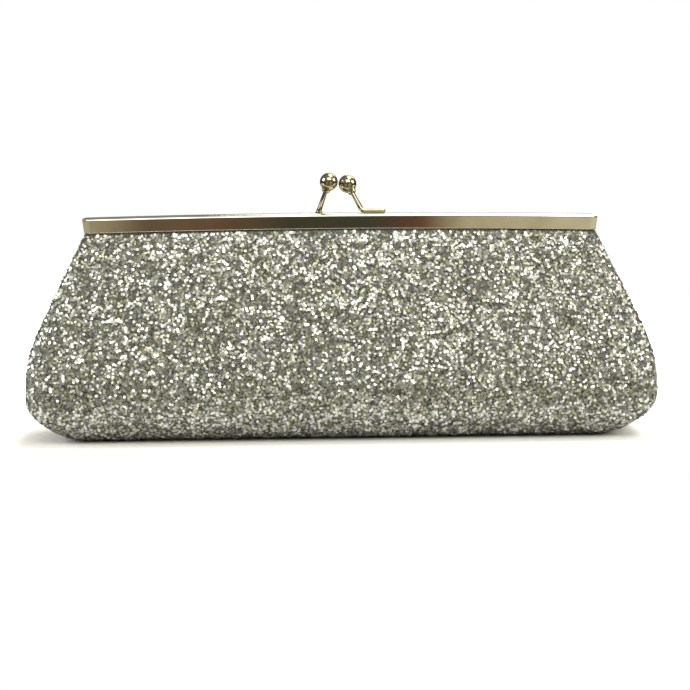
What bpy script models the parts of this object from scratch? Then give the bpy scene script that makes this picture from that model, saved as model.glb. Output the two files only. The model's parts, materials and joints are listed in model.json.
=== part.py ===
"""Framed evening clutch with a snap-ball clasp.

The bag stands on its flat bottom, centred on the origin, with its front towards -Y and +Z up.
A stiffened front wall and rear wall hinge on the bottom seams. Each carries a metal rail that turns
on the wall's top edge, and the two rails' arms meet at a rivet inside each end of the bag.
Lengths are in metres. "Depth" is a distance from the bag's middle plane, y = 0.
"""

import math

import bmesh
import bpy
from mathutils import Matrix, Vector

MM = 0.001

# Overall sizes
BODY_WIDTH = 254.8 * MM  # at the widest height
BODY_DEPTH = 50.0 * MM  # outside, where the walls are fullest
RAIL_BASE = 84.5 * MM  # height of the rails' lower edge at their ends
GAP = 0.3 * MM  # between neighbouring pieces

# Front outline of the walls
CORNER_RADIUS = 20.0 * MM
SIDE_RADIUS = 45.0 * MM  # eases the slanting side into the upright one
SIDE_RADIUS_HEIGHT = 26.0 * MM  # height at which the side turns upright

# Side profile of the walls
BELLY_RADIUS = 18.0 * MM  # lower front edge
SEAM_HEIGHT = 5.0 * MM  # of the bottom seam
SIDE_SEAM_DROP = 4.0 * MM  # how far the side seams lie behind the face
SIDE_SEAM_ROUNDING = 10.0 * MM  # width of the rounded margin beside them

# Layers, outside to inside
FABRIC = 0.9 * MM
FOAM = 1.5 * MM
BOARD = 1.0 * MM
LINING = 0.4 * MM
SEAM_ALLOWANCE = 8.0 * MM  # foam and board stop this far from the side seams
LINING_ALLOWANCE = 3.2 * MM  # and the lining this far
FOAM_TOP_MARGIN = 13.0 * MM  # foam and board stop this far below the rail
LAYER_START = 3.0 * MM  # and start this far up from the bottom seam
LINING_TAPER = 5.5 * MM  # height over which the lining closes up to the fabric
LINING_OVERRUN = 1.5 * MM  # the wall lining runs down past the bottom seam
BOTTOM_BOARD_DEPTH = 18.0 * MM

# Gussets
TUCK_AT_RAIL = 13.0 * MM  # how deep the fold runs in under the rails
GUSSET_TOP_DROP = 1.2 * MM  # the gusset stops this far under the rails

# Inner slip pocket
POCKET_WIDTH = 110.0 * MM
POCKET_BOTTOM = 22.0 * MM  # distances up the wall from its bottom seam
POCKET_TOP = 62.0 * MM

# Rails
RAIL_LENGTH = 210.0 * MM  # along the top
RAIL_END_SLANT = 0.8 * MM  # each end is this much shorter along the lower edge
RAIL_HEIGHT = 6.0 * MM
RAIL_DEPTH = 5.8 * MM
RAIL_WALL = 0.7 * MM
RAIL_RISE = 1.2 * MM  # arch at the middle
RAIL_EDGE_RADIUS = 1.4 * MM  # upper outer edge
RAIL_INNER_RADIUS = 0.6 * MM  # upper inner edge
CLOSED_GAP = 0.8 * MM  # between the closed rails

# Arms and rivets
ARM_CLEARANCE = 2.8 * MM  # between the tucked gusset and the outer arm
ARM_THICKNESS = 1.2 * MM
ARM_WIDTH = 3.0 * MM  # at the eye
RIVET_HEIGHT = 40.0 * MM
RIVET_RADIUS = 1.2 * MM
RIVET_PLAY = 0.8 * MM  # radial, in the front arm, for the open pivot
RIVET_HEAD_OVERLAP = 0.8 * MM  # of the head over that hole's edge
RIVET_HEAD_HEIGHT = 0.8 * MM
EYE_WALL = 2.0 * MM  # of the arm round that hole
ARM_SHOULDER_DROP = 1.0 * MM  # the arm widens this far below the rail

# Clasp
BALL_RADIUS = 3.65 * MM
BALL_CLEARANCE = 0.5 * MM  # as the balls pass each other
BALL_PAIR_X = -1.1 * MM
BALL_CROSSING = 2.0 * MM  # each ball passes the middle plane by this much
FRONT_BALL_RISE = 11.9 * MM  # ball centre above the rail's top
REAR_BALL_RISE = 12.9 * MM
BALL_COLLAR_WALL = 0.45 * MM
POST_RADIUS = 1.0 * MM
POST_NECK_RADIUS = 0.85 * MM
POST_SOCKET = 1.6 * MM  # depth of the post in its ball
NECK_LENGTH = 1.0 * MM
FRONT_FOOT_START = 8.6 * MM  # x, where the front post bends down to its foot
FRONT_FOOT_LENGTH = 9.4 * MM
FRONT_FOOT_TIP = 0.6 * MM  # tapering end of the foot
FRONT_BEND_RADIUS = 2.2 * MM
REAR_POST_X = -9.0 * MM
REAR_COLLAR_RADIUS = 1.7 * MM
REAR_COLLAR_HEIGHT = 0.9 * MM
REAR_COLLAR_TAPER = 1.3 * MM

# Facets
WALL_COLUMNS = 8
MARGIN_STEPS = 4
BELLY_STEPS = 5
FACE_STEPS = 5
CORNER_STEPS = 5
SIDE_STEPS = 6
GUSSET_STEPS = 8
RAIL_STATIONS = 12
ROUND_STEPS = 20

# Derived sizes
HALF_WIDTH = BODY_WIDTH / 2
FLAT_DEPTH = BODY_DEPTH / 2 - BELLY_RADIUS  # half the flat part of the bottom
RAIL_OUTER = CLOSED_GAP / 2 + RAIL_DEPTH  # depth of a rail's outer face
RAIL_MIDDLE = CLOSED_GAP / 2 + RAIL_DEPTH / 2
RAIL_TOP = RAIL_BASE + RAIL_HEIGHT
RAIL_HALF_BASE = RAIL_LENGTH / 2 - RAIL_END_SLANT
MOUTH_DEPTH = RAIL_OUTER - RAIL_WALL - GAP  # depth of the wall's face at the rail
MOUTH_HALF = RAIL_HALF_BASE - GAP
LINING_DEPTH = FABRIC + FOAM + BOARD + 3 * GAP  # from the face to the lining
TOP_STACK = FABRIC + LINING + 2 * GAP  # from the face to the arm, at the rail
NECK_START = CLOSED_GAP / 2 + RAIL_WALL + GAP  # the arm's neck, inside the rail
NECK_END = MOUTH_DEPTH - TOP_STACK
PAPER_CORD_RADIUS = (TOP_STACK - GAP) / 2
TAB_HEIGHT = RAIL_HEIGHT - RAIL_WALL - 2 * GAP - 2 * PAPER_CORD_RADIUS  # fabric held in the rail
EYE_RADIUS = RIVET_RADIUS + RIVET_PLAY + EYE_WALL
RIVET_HEAD_RADIUS = RIVET_RADIUS + RIVET_PLAY + RIVET_HEAD_OVERLAP
BALL_SPACING = 2 * BALL_RADIUS + BALL_CLEARANCE

COLOURS = {
    "glitter": ((0.42, 0.42, 0.37), 0.45, 0.6),
    "foam": ((0.85, 0.84, 0.78), 0.9, 0.0),
    "board": ((0.48, 0.44, 0.38), 0.85, 0.0),
    "lining": ((0.035, 0.035, 0.04), 0.5, 0.0),
    "nickel": ((0.72, 0.69, 0.58), 0.12, 1.0),
    "paper": ((0.62, 0.5, 0.34), 0.9, 0.0),
}


# ---- Curves that shape the bag

def tangent_angle(start, centre, radius):
    """Angle from upright of the line that runs down from start and touches the outside of a circle."""
    out, down = centre[0] - start[0], start[1] - centre[1]
    return math.asin(radius / math.hypot(out, down)) + math.atan2(out, down)


SIDE_CENTRE = (HALF_WIDTH - SIDE_RADIUS, SIDE_RADIUS_HEIGHT)
SIDE_ANGLE = tangent_angle((MOUTH_HALF, RAIL_BASE), SIDE_CENTRE, SIDE_RADIUS)
BELLY_CENTRE = (FLAT_DEPTH, BELLY_RADIUS)
FACE_ANGLE = tangent_angle((MOUTH_DEPTH, RAIL_BASE), BELLY_CENTRE, BELLY_RADIUS)
SEAM_ANGLE = -math.asin((BELLY_RADIUS - SEAM_HEIGHT) / BELLY_RADIUS)
SEAM_DEPTH = FLAT_DEPTH + BELLY_RADIUS * math.cos(SEAM_ANGLE)
BELLY_LENGTH = BELLY_RADIUS * (FACE_ANGLE - SEAM_ANGLE)
FACE_TOP_OF_ARC = BELLY_RADIUS * (1 + math.sin(FACE_ANGLE))
WALL_LENGTH = BELLY_LENGTH + (RAIL_BASE - FACE_TOP_OF_ARC) / math.cos(FACE_ANGLE)
FOAM_TOP = WALL_LENGTH - FOAM_TOP_MARGIN


def half_width(z):
    """Half the walls' width at a height, out to the side seam."""
    if z < CORNER_RADIUS:
        share = (CORNER_RADIUS - max(z, SEAM_HEIGHT)) / (CORNER_RADIUS - SEAM_HEIGHT)
        return HALF_WIDTH - CORNER_RADIUS * (1 - math.sqrt(max(0.0, 1 - share**2)))
    if z < SIDE_RADIUS_HEIGHT:
        return HALF_WIDTH
    if z < SIDE_RADIUS_HEIGHT + SIDE_RADIUS * math.sin(SIDE_ANGLE):
        drop = math.asin((z - SIDE_RADIUS_HEIGHT) / SIDE_RADIUS)
        return HALF_WIDTH - SIDE_RADIUS * (1 - math.cos(drop))
    return MOUTH_HALF + (RAIL_BASE - min(z, RAIL_BASE)) * math.tan(SIDE_ANGLE)


def wall_profile(along):
    """(depth, height, outward normal) of the walls' face, a distance up from the bottom seam."""
    if along < BELLY_LENGTH:
        angle = SEAM_ANGLE + along / BELLY_RADIUS
        normal = (math.cos(angle), math.sin(angle))
        depth = BELLY_CENTRE[0] + BELLY_RADIUS * normal[0]
        return depth, BELLY_CENTRE[1] + BELLY_RADIUS * normal[1], normal
    normal = (math.cos(FACE_ANGLE), math.sin(FACE_ANGLE))
    if along <= WALL_LENGTH:
        up = (along - BELLY_LENGTH) * math.cos(FACE_ANGLE)
        rest = WALL_LENGTH - along
        return MOUTH_DEPTH + rest * math.sin(FACE_ANGLE), FACE_TOP_OF_ARC + up, normal
    return MOUTH_DEPTH, RAIL_BASE + along - WALL_LENGTH, (1.0, 0.0)


def seam_drop(z):
    """How far the side seam lies behind the face at a height."""
    from_bottom = (z - SEAM_HEIGHT) / (CORNER_RADIUS - SEAM_HEIGHT)
    from_rail = (RAIL_BASE - z) / (RAIL_BASE / 2)
    return SIDE_SEAM_DROP * max(0.0, min(1.0, from_bottom, from_rail))


def arch(x, share=1.0):
    """Rise of the rails, and of a share of it lower down the walls, at a place along X."""
    return RAIL_RISE * share * (1 - min(1.0, abs(x) / (RAIL_LENGTH / 2)) ** 2)


def wall_point(side, across, along, depth, inset, margin, limit=None):
    """A point of a wall: side is -1 in front, and depth is below the face.

    across runs -1 to 1 up to the inset from the side seams, then on to -2 or 2 over the margin.
    """
    face, height, normal = wall_profile(along)
    edge = half_width(height)
    if along > WALL_LENGTH - GAP / 2:
        edge = RAIL_HALF_BASE - RAIL_WALL - 2 * GAP
    inner = edge - inset if limit is None else limit
    x = across * inner
    if abs(across) > 1:
        x = math.copysign(inner + (abs(across) - 1) * margin, across)
    margin = min(1.0, max(0.0, half_width(height) - abs(x)) / SIDE_SEAM_ROUNDING)
    below = depth + seam_drop(height) * (1 - math.sqrt(1 - (1 - margin) ** 2))
    up = arch(x, min(1.0, along / WALL_LENGTH) ** 2)
    return Vector((x, side * (face - below * normal[0]), height - below * normal[1] + up))


def seam_depth(z):
    """Depth of the side seam at a height."""
    if z < FACE_TOP_OF_ARC:
        rise = (z - BELLY_CENTRE[1]) / BELLY_RADIUS
        face = BELLY_CENTRE[0] + BELLY_RADIUS * math.sqrt(1 - rise**2)
    else:
        face = MOUTH_DEPTH + (RAIL_BASE - z) * math.tan(FACE_ANGLE)
    return face - seam_drop(z)


# ---- Mesh helpers

def new_object(name, mesh, finish):
    """An object in the scene, with its own material."""
    colour, roughness, metallic = COLOURS[finish]
    material = bpy.data.materials.new(name)
    material.use_nodes = True
    shader = material.node_tree.nodes["Principled BSDF"]
    shader.inputs["Base Color"].default_value = (*colour, 1)
    shader.inputs["Roughness"].default_value = roughness
    shader.inputs["Metallic"].default_value = metallic
    mesh.materials.append(material)
    made = bpy.data.objects.new(name, mesh)
    bpy.context.scene.collection.objects.link(made)
    return made


def finish_mesh(name, shape, finish):
    """Closes off a bmesh as a named object whose faces point out."""
    bmesh.ops.recalc_face_normals(shape, faces=shape.faces)
    mesh = bpy.data.meshes.new(name)
    shape.to_mesh(mesh)
    shape.free()
    return new_object(name, mesh, finish)


def sheet(name, finish, outer, inner, across, along):
    """A closed sheet between two surfaces, each a function of a place across and a place along."""
    shape = bmesh.new()
    grids = [
        [[shape.verts.new(surface(a, b)) for a in across] for b in along]
        for surface in (outer, inner)
    ]
    for grid in grids:
        for row, above in zip(grid, grid[1:]):
            for k in range(len(row) - 1):
                shape.faces.new((row[k], row[k + 1], above[k + 1], above[k]))
    rims = [
        grid[0] + [row[-1] for row in grid[1:-1]] + grid[-1][::-1]
        + [row[0] for row in grid[-2:0:-1]]
        for grid in grids
    ]
    for k in range(len(rims[0])):
        shape.faces.new((rims[0][k - 1], rims[0][k], rims[1][k], rims[1][k - 1]))
    made = finish_mesh(name, shape, finish)
    made.data.shade_smooth()
    return made


def turned(name, finish, profile):
    """A solid of revolution about Z, from (radius, height) points that start and end on the axis."""
    shape = bmesh.new()
    chain = [shape.verts.new((radius, 0, height)) for radius, height in profile]
    edges = [shape.edges.new(pair) for pair in zip(chain, chain[1:])]
    bmesh.ops.spin(
        shape, geom=chain + edges, axis=(0, 0, 1), cent=(0, 0, 0),
        steps=ROUND_STEPS, angle=2 * math.pi, use_merge=True,
    )
    bmesh.ops.remove_doubles(shape, verts=shape.verts, dist=0.001 * MM)
    made = finish_mesh(name, shape, finish)
    made.data.shade_smooth()
    made.data.set_sharp_from_angle(angle=math.radians(40))
    return made


def cut(target, cutter):
    """Subtracts a mesh object and keeps it as a hidden helper."""
    cutter.hide_render = True
    cutter.display_type = "WIRE"
    boolean = target.modifiers.new("cut", "BOOLEAN")
    boolean.operation = "DIFFERENCE"
    boolean.object = cutter


def spread(count, low=-1.0, high=1.0):
    """Evenly spaced numbers."""
    return [low + (high - low) * k / count for k in range(count + 1)]


def wall_stations(low, high):
    """Distances up the wall, with steps enough for the belly's arc and the side's curve."""
    marks = [LAYER_START / 3] + spread(BELLY_STEPS, LAYER_START, BELLY_LENGTH)
    marks += spread(FACE_STEPS, BELLY_LENGTH, FOAM_TOP)[1:] + [FOAM_TOP + LINING_TAPER, WALL_LENGTH]
    return [low] + [m for m in marks if low + GAP < m < high - GAP] + [high]


# ---- Walls

def wall_layer(name, finish, side, start, thickness, low, high, inset, margin=0.0, limit=None):
    """One layer of a wall; start, its depth below the face, is a function of across and along."""
    columns = spread(WALL_COLUMNS)
    if margin:
        steps = [1 + k / MARGIN_STEPS for k in range(1, MARGIN_STEPS + 1)]
        columns = [-a for a in reversed(steps)] + columns + steps
    return sheet(
        name, finish,
        lambda a, b: wall_point(side, a, b, start(a, b), inset, margin, limit),
        lambda a, b: wall_point(side, a, b, start(a, b) + thickness, inset, margin, limit),
        columns, wall_stations(low, high),
    )


def lining_depth(across, along):
    """Depth of the lining below the face, closing up to the fabric near the rail and side seams."""
    upward = (along - FOAM_TOP) / LINING_TAPER
    sideways = 1.0 if abs(across) > 1 else 0.0
    share = max(0.0, min(1.0, max(upward, sideways)))
    return LINING_DEPTH + (FABRIC + GAP - LINING_DEPTH) * share


def build_wall(prefix, side):
    """Fabric, foam, board and lining of the front (side -1) or rear (side 1) wall."""
    foam_start = FABRIC + GAP
    board_start = foam_start + FOAM + GAP
    fabric_top = WALL_LENGTH + TAB_HEIGHT
    lining_inset = SEAM_ALLOWANCE - 2 * GAP
    layers = (
        (
            "_panel", "glitter", lambda a, b: 0.0, FABRIC, GAP, fabric_top,
            SIDE_SEAM_ROUNDING, SIDE_SEAM_ROUNDING,
        ),
        ("_foam", "foam", lambda a, b: foam_start, FOAM, LAYER_START, FOAM_TOP, SEAM_ALLOWANCE),
        ("_board", "board", lambda a, b: board_start, BOARD, LAYER_START, FOAM_TOP, SEAM_ALLOWANCE),
        (
            "_lining", "lining", lining_depth, LINING,
            -LINING_OVERRUN, WALL_LENGTH - GAP, lining_inset, lining_inset - LINING_ALLOWANCE,
        ),
    )
    for word, finish, *sizes in layers:
        wall_layer(prefix + word, finish, side, *sizes)


def build_pocket():
    """Patch pocket on the rear lining."""
    start = LINING_DEPTH + LINING + GAP
    wall_layer(
        "slip_pocket", "lining", 1, lambda a, b: start, LINING,
        POCKET_BOTTOM, POCKET_TOP, 0.0, limit=POCKET_WIDTH / 2,
    )


# ---- Bottom and gussets

def belly_rise(depth):
    """Height of the outside of the bottom at a depth."""
    over = max(0.0, abs(depth) - FLAT_DEPTH)
    return BELLY_RADIUS - math.sqrt(BELLY_RADIUS**2 - over**2)


def build_bottom():
    """Outer strip, board and lining of the bottom."""
    straight = HALF_WIDTH - CORNER_RADIUS
    reach = SEAM_DEPTH - GAP

    def strip(lift):
        return lambda a, b: Vector((a * (straight - GAP), b * reach, belly_rise(b * reach) + lift))

    face, height, normal = wall_profile(-LINING_OVERRUN)
    edge = face - (LINING_DEPTH + LINING) * normal[0] - GAP
    edge_height = height - (LINING_DEPTH + LINING) * normal[1] - 2 * GAP - LINING

    def lining(lift):
        sweep = (edge_height - lining_base) / belly_rise(edge)
        return lambda a, b: Vector((
            a * (straight - GAP), b * edge, lining_base + lift + sweep * belly_rise(b * edge),
        ))

    def board(lift):
        edge = BOTTOM_BOARD_DEPTH / 2
        return lambda a, b: Vector((a * (straight - GAP), b * edge, lift))

    flat = FLAT_DEPTH / reach
    rounds = [flat + (1 - flat) * k / BELLY_STEPS for k in range(BELLY_STEPS + 1)]
    depths = [-d for d in reversed(rounds)] + rounds
    board_base = belly_rise(BOTTOM_BOARD_DEPTH / 2) + FABRIC + GAP
    lining_base = board_base + BOARD + GAP
    ends = [-1.0, 1.0]
    sheet("bottom_panel", "glitter", strip(0.0), strip(FABRIC), ends, depths)
    sheet("bottom_board", "board", board(board_base), board(board_base + BOARD), ends, ends)
    sheet("bottom_lining", "lining", lining(0.0), lining(LINING), ends, spread(GUSSET_STEPS))


def gusset_stations():
    """(seam x, seam z, middle x, middle z, share up the side, inward normal) round the outline."""
    found = []
    straight = HALF_WIDTH - CORNER_RADIUS
    for angle in spread(CORNER_STEPS, 0, math.pi / 2):
        out, down = math.sin(angle), math.cos(angle)
        found.append((
            straight + CORNER_RADIUS * out,
            CORNER_RADIUS - (CORNER_RADIUS - SEAM_HEIGHT) * down,
            straight + CORNER_RADIUS * out,
            CORNER_RADIUS * (1 - down),
            0.0,
            (-out, down),
        ))
    top = RAIL_BASE - GUSSET_TOP_DROP
    for z in spread(SIDE_STEPS, CORNER_RADIUS, top)[1:]:
        share = (z - CORNER_RADIUS) / (top - CORNER_RADIUS)
        found.append((half_width(z), z, half_width(z), z, share, (-1.0, 0.0)))
    return found


def gusset_point(end, station, across, depth):
    """A point of a gusset: end is -1 on the left, across runs from the front seam to the rear one."""
    seam_x, seam_z, middle_x, middle_z, share, inward = station
    edge = seam_depth(seam_z) - FABRIC - 2 * GAP
    y = across * edge
    rise = belly_rise(min(abs(y), SEAM_DEPTH)) / SEAM_HEIGHT
    corner = min(1.0, seam_z / CORNER_RADIUS) if share == 0 else 1.0
    towards_seam = rise + (abs(across) - rise) * corner
    tuck = TUCK_AT_RAIL * math.sqrt(share) * (1 - abs(across))
    x = middle_x + (seam_x - middle_x) * towards_seam + inward[0] * (tuck + depth)
    z = middle_z + (seam_z - middle_z) * towards_seam + inward[1] * depth
    return Vector((end * x, y, z))


def build_gusset(name, finish, end, start, thickness):
    """A folded side strip, from the end of the bottom up to the rails."""
    stations = gusset_stations()
    index = list(range(len(stations)))
    sheet(
        name, finish,
        lambda a, b: gusset_point(end, stations[b], a, start),
        lambda a, b: gusset_point(end, stations[b], a, start + thickness),
        spread(GUSSET_STEPS), index,
    )


# ---- Rails

def arc(centre, radius, start, stop, steps):
    """Points on an arc of the rail's section, as (depth, height)."""
    return [
        (centre[0] + radius * math.cos(a), centre[1] + radius * math.sin(a))
        for a in spread(steps, start, stop)
    ]


def rail_prism(name, finish, section, side, half_length):
    """A section swept along the rail's arch, with half_length a function of the section's height."""
    shape = bmesh.new()
    rings = [
        [
            shape.verts.new((a * half_length(z), side * y, z + RAIL_RISE * (1 - a**2)))
            for y, z in section
        ]
        for a in spread(RAIL_STATIONS)
    ]
    for ring, following in zip(rings, rings[1:]):
        for k in range(len(section)):
            shape.faces.new((ring[k - 1], ring[k], following[k], following[k - 1]))
    shape.faces.new(rings[0])
    shape.faces.new(rings[-1][::-1])
    return finish_mesh(name, shape, finish)


def build_rail(prefix, side):
    """Folded channel, open below, with closed ends."""
    outer, inner = RAIL_OUTER, RAIL_OUTER - RAIL_DEPTH
    section = (
        [(inner, RAIL_BASE), (outer, RAIL_BASE)]
        + arc(
            (outer - RAIL_EDGE_RADIUS, RAIL_TOP - RAIL_EDGE_RADIUS), RAIL_EDGE_RADIUS,
            0, math.pi / 2, 5,
        )
        + arc(
            (inner + RAIL_INNER_RADIUS, RAIL_TOP - RAIL_INNER_RADIUS), RAIL_INNER_RADIUS,
            math.pi / 2, math.pi, 3,
        )
    )
    hollow_radius = RAIL_EDGE_RADIUS - RAIL_WALL
    ceiling = RAIL_TOP - RAIL_WALL
    below = RAIL_BASE - RAIL_WALL  # runs the cut out through the open side
    hollow = (
        [(inner + RAIL_WALL, below), (outer - RAIL_WALL, below)]
        + arc(
            (outer - RAIL_EDGE_RADIUS, RAIL_TOP - RAIL_EDGE_RADIUS), hollow_radius,
            0, math.pi / 2, 4,
        )
        + [(inner + RAIL_WALL, ceiling)]
    )

    def end(z):
        return RAIL_LENGTH / 2 - RAIL_END_SLANT * (RAIL_TOP - z) / RAIL_HEIGHT

    rail = rail_prism(prefix + "_rail", "nickel", section, side, end)
    cavity = rail_prism(prefix + "_rail_cavity", "nickel", hollow, side, lambda z: end(z) - RAIL_WALL)
    cut(rail, cavity)


def build_paper_cord(prefix, side):
    """Twisted paper cord that wedges the fabric in the rail."""
    centre = (
        RAIL_OUTER - RAIL_WALL - GAP - PAPER_CORD_RADIUS,
        RAIL_TOP - RAIL_WALL - GAP - PAPER_CORD_RADIUS,
    )
    section = arc(centre, PAPER_CORD_RADIUS, 0, 2 * math.pi, 8)[:-1]
    half = RAIL_HALF_BASE - RAIL_WALL - 2 * GAP
    rail_prism(prefix + "_paper_cord", "paper", section, side, lambda z: half)


# ---- Arms and rivets

def outer_arm_place():
    """x of the outer arms' inner faces, which clear the tucked gussets."""
    fold = half_width(RAIL_BASE - GUSSET_TOP_DROP) - TUCK_AT_RAIL - FABRIC - GAP - LINING
    return fold - ARM_CLEARANCE - ARM_THICKNESS


def arm_outline(side):
    """(y, z) outline of an arm, from its neck in the rail to its eye round the rivet."""
    top = RAIL_TOP + arch(outer_arm_place()) - RAIL_WALL - GAP
    shoulder = RAIL_BASE - ARM_SHOULDER_DROP
    near, far = GAP, GAP + ARM_WIDTH
    slope_end = shoulder - (NECK_END - NECK_START)
    outline = [(NECK_END, top), (NECK_START, top), (NECK_START, shoulder), (near, slope_end)]
    outline += arc(
        (0, RIVET_HEIGHT), EYE_RADIUS,
        math.acos(near / EYE_RADIUS), 2 * math.pi + math.acos(far / EYE_RADIUS), 14,
    )
    outline.append((NECK_END, shoulder))
    return [(side * y, z) for y, z in outline]


def build_arm(name, side, end, x, hole_radius):
    """A flat arm, standing across X, with its rivet hole."""
    shape = bmesh.new()
    outline = arm_outline(side)
    face = shape.faces.new([shape.verts.new((0, y, z)) for y, z in outline])
    swept = bmesh.ops.extrude_face_region(shape, geom=[face])
    moved = [v for v in swept["geom"] if isinstance(v, bmesh.types.BMVert)]
    bmesh.ops.translate(shape, verts=moved, vec=(end * ARM_THICKNESS, 0, 0))
    arm = finish_mesh(name, shape, "nickel")
    arm.location.x = end * x
    drill = bmesh.new()
    bmesh.ops.create_cone(
        drill, cap_ends=True, segments=ROUND_STEPS, radius1=hole_radius, radius2=hole_radius,
        depth=6 * ARM_THICKNESS,
        matrix=Matrix.Translation((0, 0, RIVET_HEIGHT)) @ Matrix.Rotation(math.pi / 2, 4, "Y"),
    )
    hole = finish_mesh(name + "_hole", drill, "nickel")
    hole.location.x = end * x
    cut(arm, hole)


def build_rivet(name, end):
    """Spool-shaped rivet along X, through a front arm and a rear arm."""
    stack = 2 * ARM_THICKNESS + GAP
    shank = stack / 2 + GAP
    dome = shank + RIVET_HEAD_HEIGHT
    edge = shank + RIVET_HEAD_HEIGHT / 3
    half = [
        (RIVET_RADIUS, 0), (RIVET_RADIUS, shank), (RIVET_HEAD_RADIUS, shank),
        (RIVET_HEAD_RADIUS, edge), (RIVET_HEAD_RADIUS * 0.7, dome), (0, dome),
    ]
    profile = [(r, -h) for r, h in reversed(half[1:])] + half[1:]
    rivet = turned(name, "nickel", profile)
    rivet.rotation_euler = (0, math.pi / 2, 0)
    middle = outer_arm_place() - GAP / 2
    rivet.location = (end * middle, 0, RIVET_HEIGHT)


# ---- Clasp

def build_post(name, points, radii):
    """A bent, tapering rod."""
    curve = bpy.data.curves.new(name, "CURVE")
    curve.dimensions = "3D"
    curve.bevel_depth = 1.0
    curve.bevel_resolution = 3
    curve.use_fill_caps = True
    line = curve.splines.new("POLY")
    line.points.add(len(points) - 1)
    for place, point, radius in zip(line.points, points, radii):
        place.co = (*point, 1)
        place.radius = radius
    new_object(name, curve, "nickel")


def bend(start, corner, stop, radius, steps):
    """Points of an arc that rounds the corner between two straight runs."""
    back, on = (start - corner).normalized(), (stop - corner).normalized()
    half = back.angle(on) / 2
    reach = radius / math.tan(half)
    centre = corner + (back + on).normalized() * radius / math.sin(half)
    first = corner + back * reach - centre
    axis = first.cross(corner + on * reach - centre).normalized()
    turn = math.pi - 2 * half
    return [centre + Matrix.Rotation(turn * k / steps, 3, axis) @ first for k in range(steps + 1)]


def build_ball(name, centre, direction):
    """Ball with a short neck and a blind socket for its post; direction runs from post to ball."""
    socket = POST_NECK_RADIUS + GAP
    collar = socket + BALL_COLLAR_WALL
    lowest = -math.acos(collar / BALL_RADIUS)
    profile = [(0, -BALL_RADIUS + POST_SOCKET), (socket, -BALL_RADIUS + POST_SOCKET)]
    profile += [(socket, -BALL_RADIUS - NECK_LENGTH), (collar, -BALL_RADIUS - NECK_LENGTH)]
    profile += [
        (BALL_RADIUS * math.cos(a), BALL_RADIUS * math.sin(a))
        for a in spread(11, lowest, math.pi / 2)[:-1]
    ]
    profile.append((0, BALL_RADIUS))
    ball = turned(name, "nickel", profile)
    ball.rotation_mode = "QUATERNION"
    ball.rotation_quaternion = direction.to_track_quat("Z", "Y")
    ball.location = centre


def build_front_clasp():
    """Post with a foot along the front rail, leaning back to its ball."""
    top = RAIL_TOP + RAIL_RISE
    foot_z = top + GAP + POST_RADIUS
    ball = Vector((
        BALL_PAIR_X + BALL_SPACING / 2, BALL_CROSSING, top + FRONT_BALL_RISE,
    ))
    corner = Vector((FRONT_FOOT_START, -RAIL_MIDDLE, foot_z))
    foot_end = corner + Vector((FRONT_FOOT_LENGTH, 0, 0))
    direction = (ball - corner).normalized()
    tip = ball - direction * (BALL_RADIUS - POST_SOCKET + GAP)
    points = [foot_end, foot_end - Vector((FRONT_FOOT_TIP, 0, 0))]
    points += bend(foot_end, corner, ball, FRONT_BEND_RADIUS, 5)
    points.append(tip)
    radii = [POST_RADIUS * 0.85] + [POST_RADIUS] * (len(points) - 2) + [POST_NECK_RADIUS]
    build_post("front_clasp_post", points, radii)
    build_ball("front_clasp_ball", ball, direction)


def build_rear_clasp():
    """Straight post standing in a collar on the rear rail, leaning forward to its ball."""
    base = Vector((REAR_POST_X, RAIL_MIDDLE, RAIL_TOP + arch(REAR_POST_X) + GAP))
    ball = Vector((
        BALL_PAIR_X - BALL_SPACING / 2, -BALL_CROSSING, RAIL_TOP + RAIL_RISE + REAR_BALL_RISE,
    ))
    rooted = base + Vector((0, 0, REAR_COLLAR_HEIGHT))
    direction = (ball - rooted).normalized()
    tip = ball - direction * (BALL_RADIUS - POST_SOCKET + GAP)
    points = [base, rooted, rooted + direction * REAR_COLLAR_TAPER, tip]
    radii = [REAR_COLLAR_RADIUS, REAR_COLLAR_RADIUS * 0.8, POST_RADIUS, POST_NECK_RADIUS]
    build_post("rear_clasp_post", points, radii)
    build_ball("rear_clasp_ball", ball, direction)


# ---- The bag

def hinge_empty(name, depth, height, parent=None):
    """An empty on a hinge's axis, which runs along X."""
    pivot = bpy.data.objects.new(name, None)
    pivot.empty_display_size = 10 * MM
    bpy.context.scene.collection.objects.link(pivot)
    pivot.location = (0, depth, height)
    if parent:
        pivot.parent = parent
        pivot.matrix_parent_inverse = Matrix.Translation(-parent.location)
    return pivot


def hang(pivot, *names):
    """Parents pieces to an empty without moving them; a cut piece takes its cutter along."""
    for name in names:
        piece = bpy.data.objects[name]
        cutters = [modifier.object for modifier in piece.modifiers if modifier.type == "BOOLEAN"]
        for moved in [piece] + cutters:
            moved.parent = pivot
            moved.matrix_parent_inverse = Matrix.Translation(-pivot.location)


def build_hinges():
    """Puts each moving body under an empty: a wall on its bottom seam, a frame on the wall's top."""
    for prefix, side in (("front", -1), ("rear", 1)):
        seam = hinge_empty(prefix + "_wall_hinge", side * SEAM_DEPTH, SEAM_HEIGHT)
        mouth = hinge_empty(prefix + "_frame_hinge", side * MOUTH_DEPTH, RAIL_BASE, seam)
        hang(seam, *(prefix + word for word in ("_panel", "_foam", "_board", "_lining")))
        frame = ("_rail", "_paper_cord", "_arm_left", "_arm_right", "_clasp_post", "_clasp_ball")
        hang(mouth, *(prefix + word for word in frame))
    hang(seam, "slip_pocket")
    hang(mouth, "hinge_rivet_left", "hinge_rivet_right")


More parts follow.
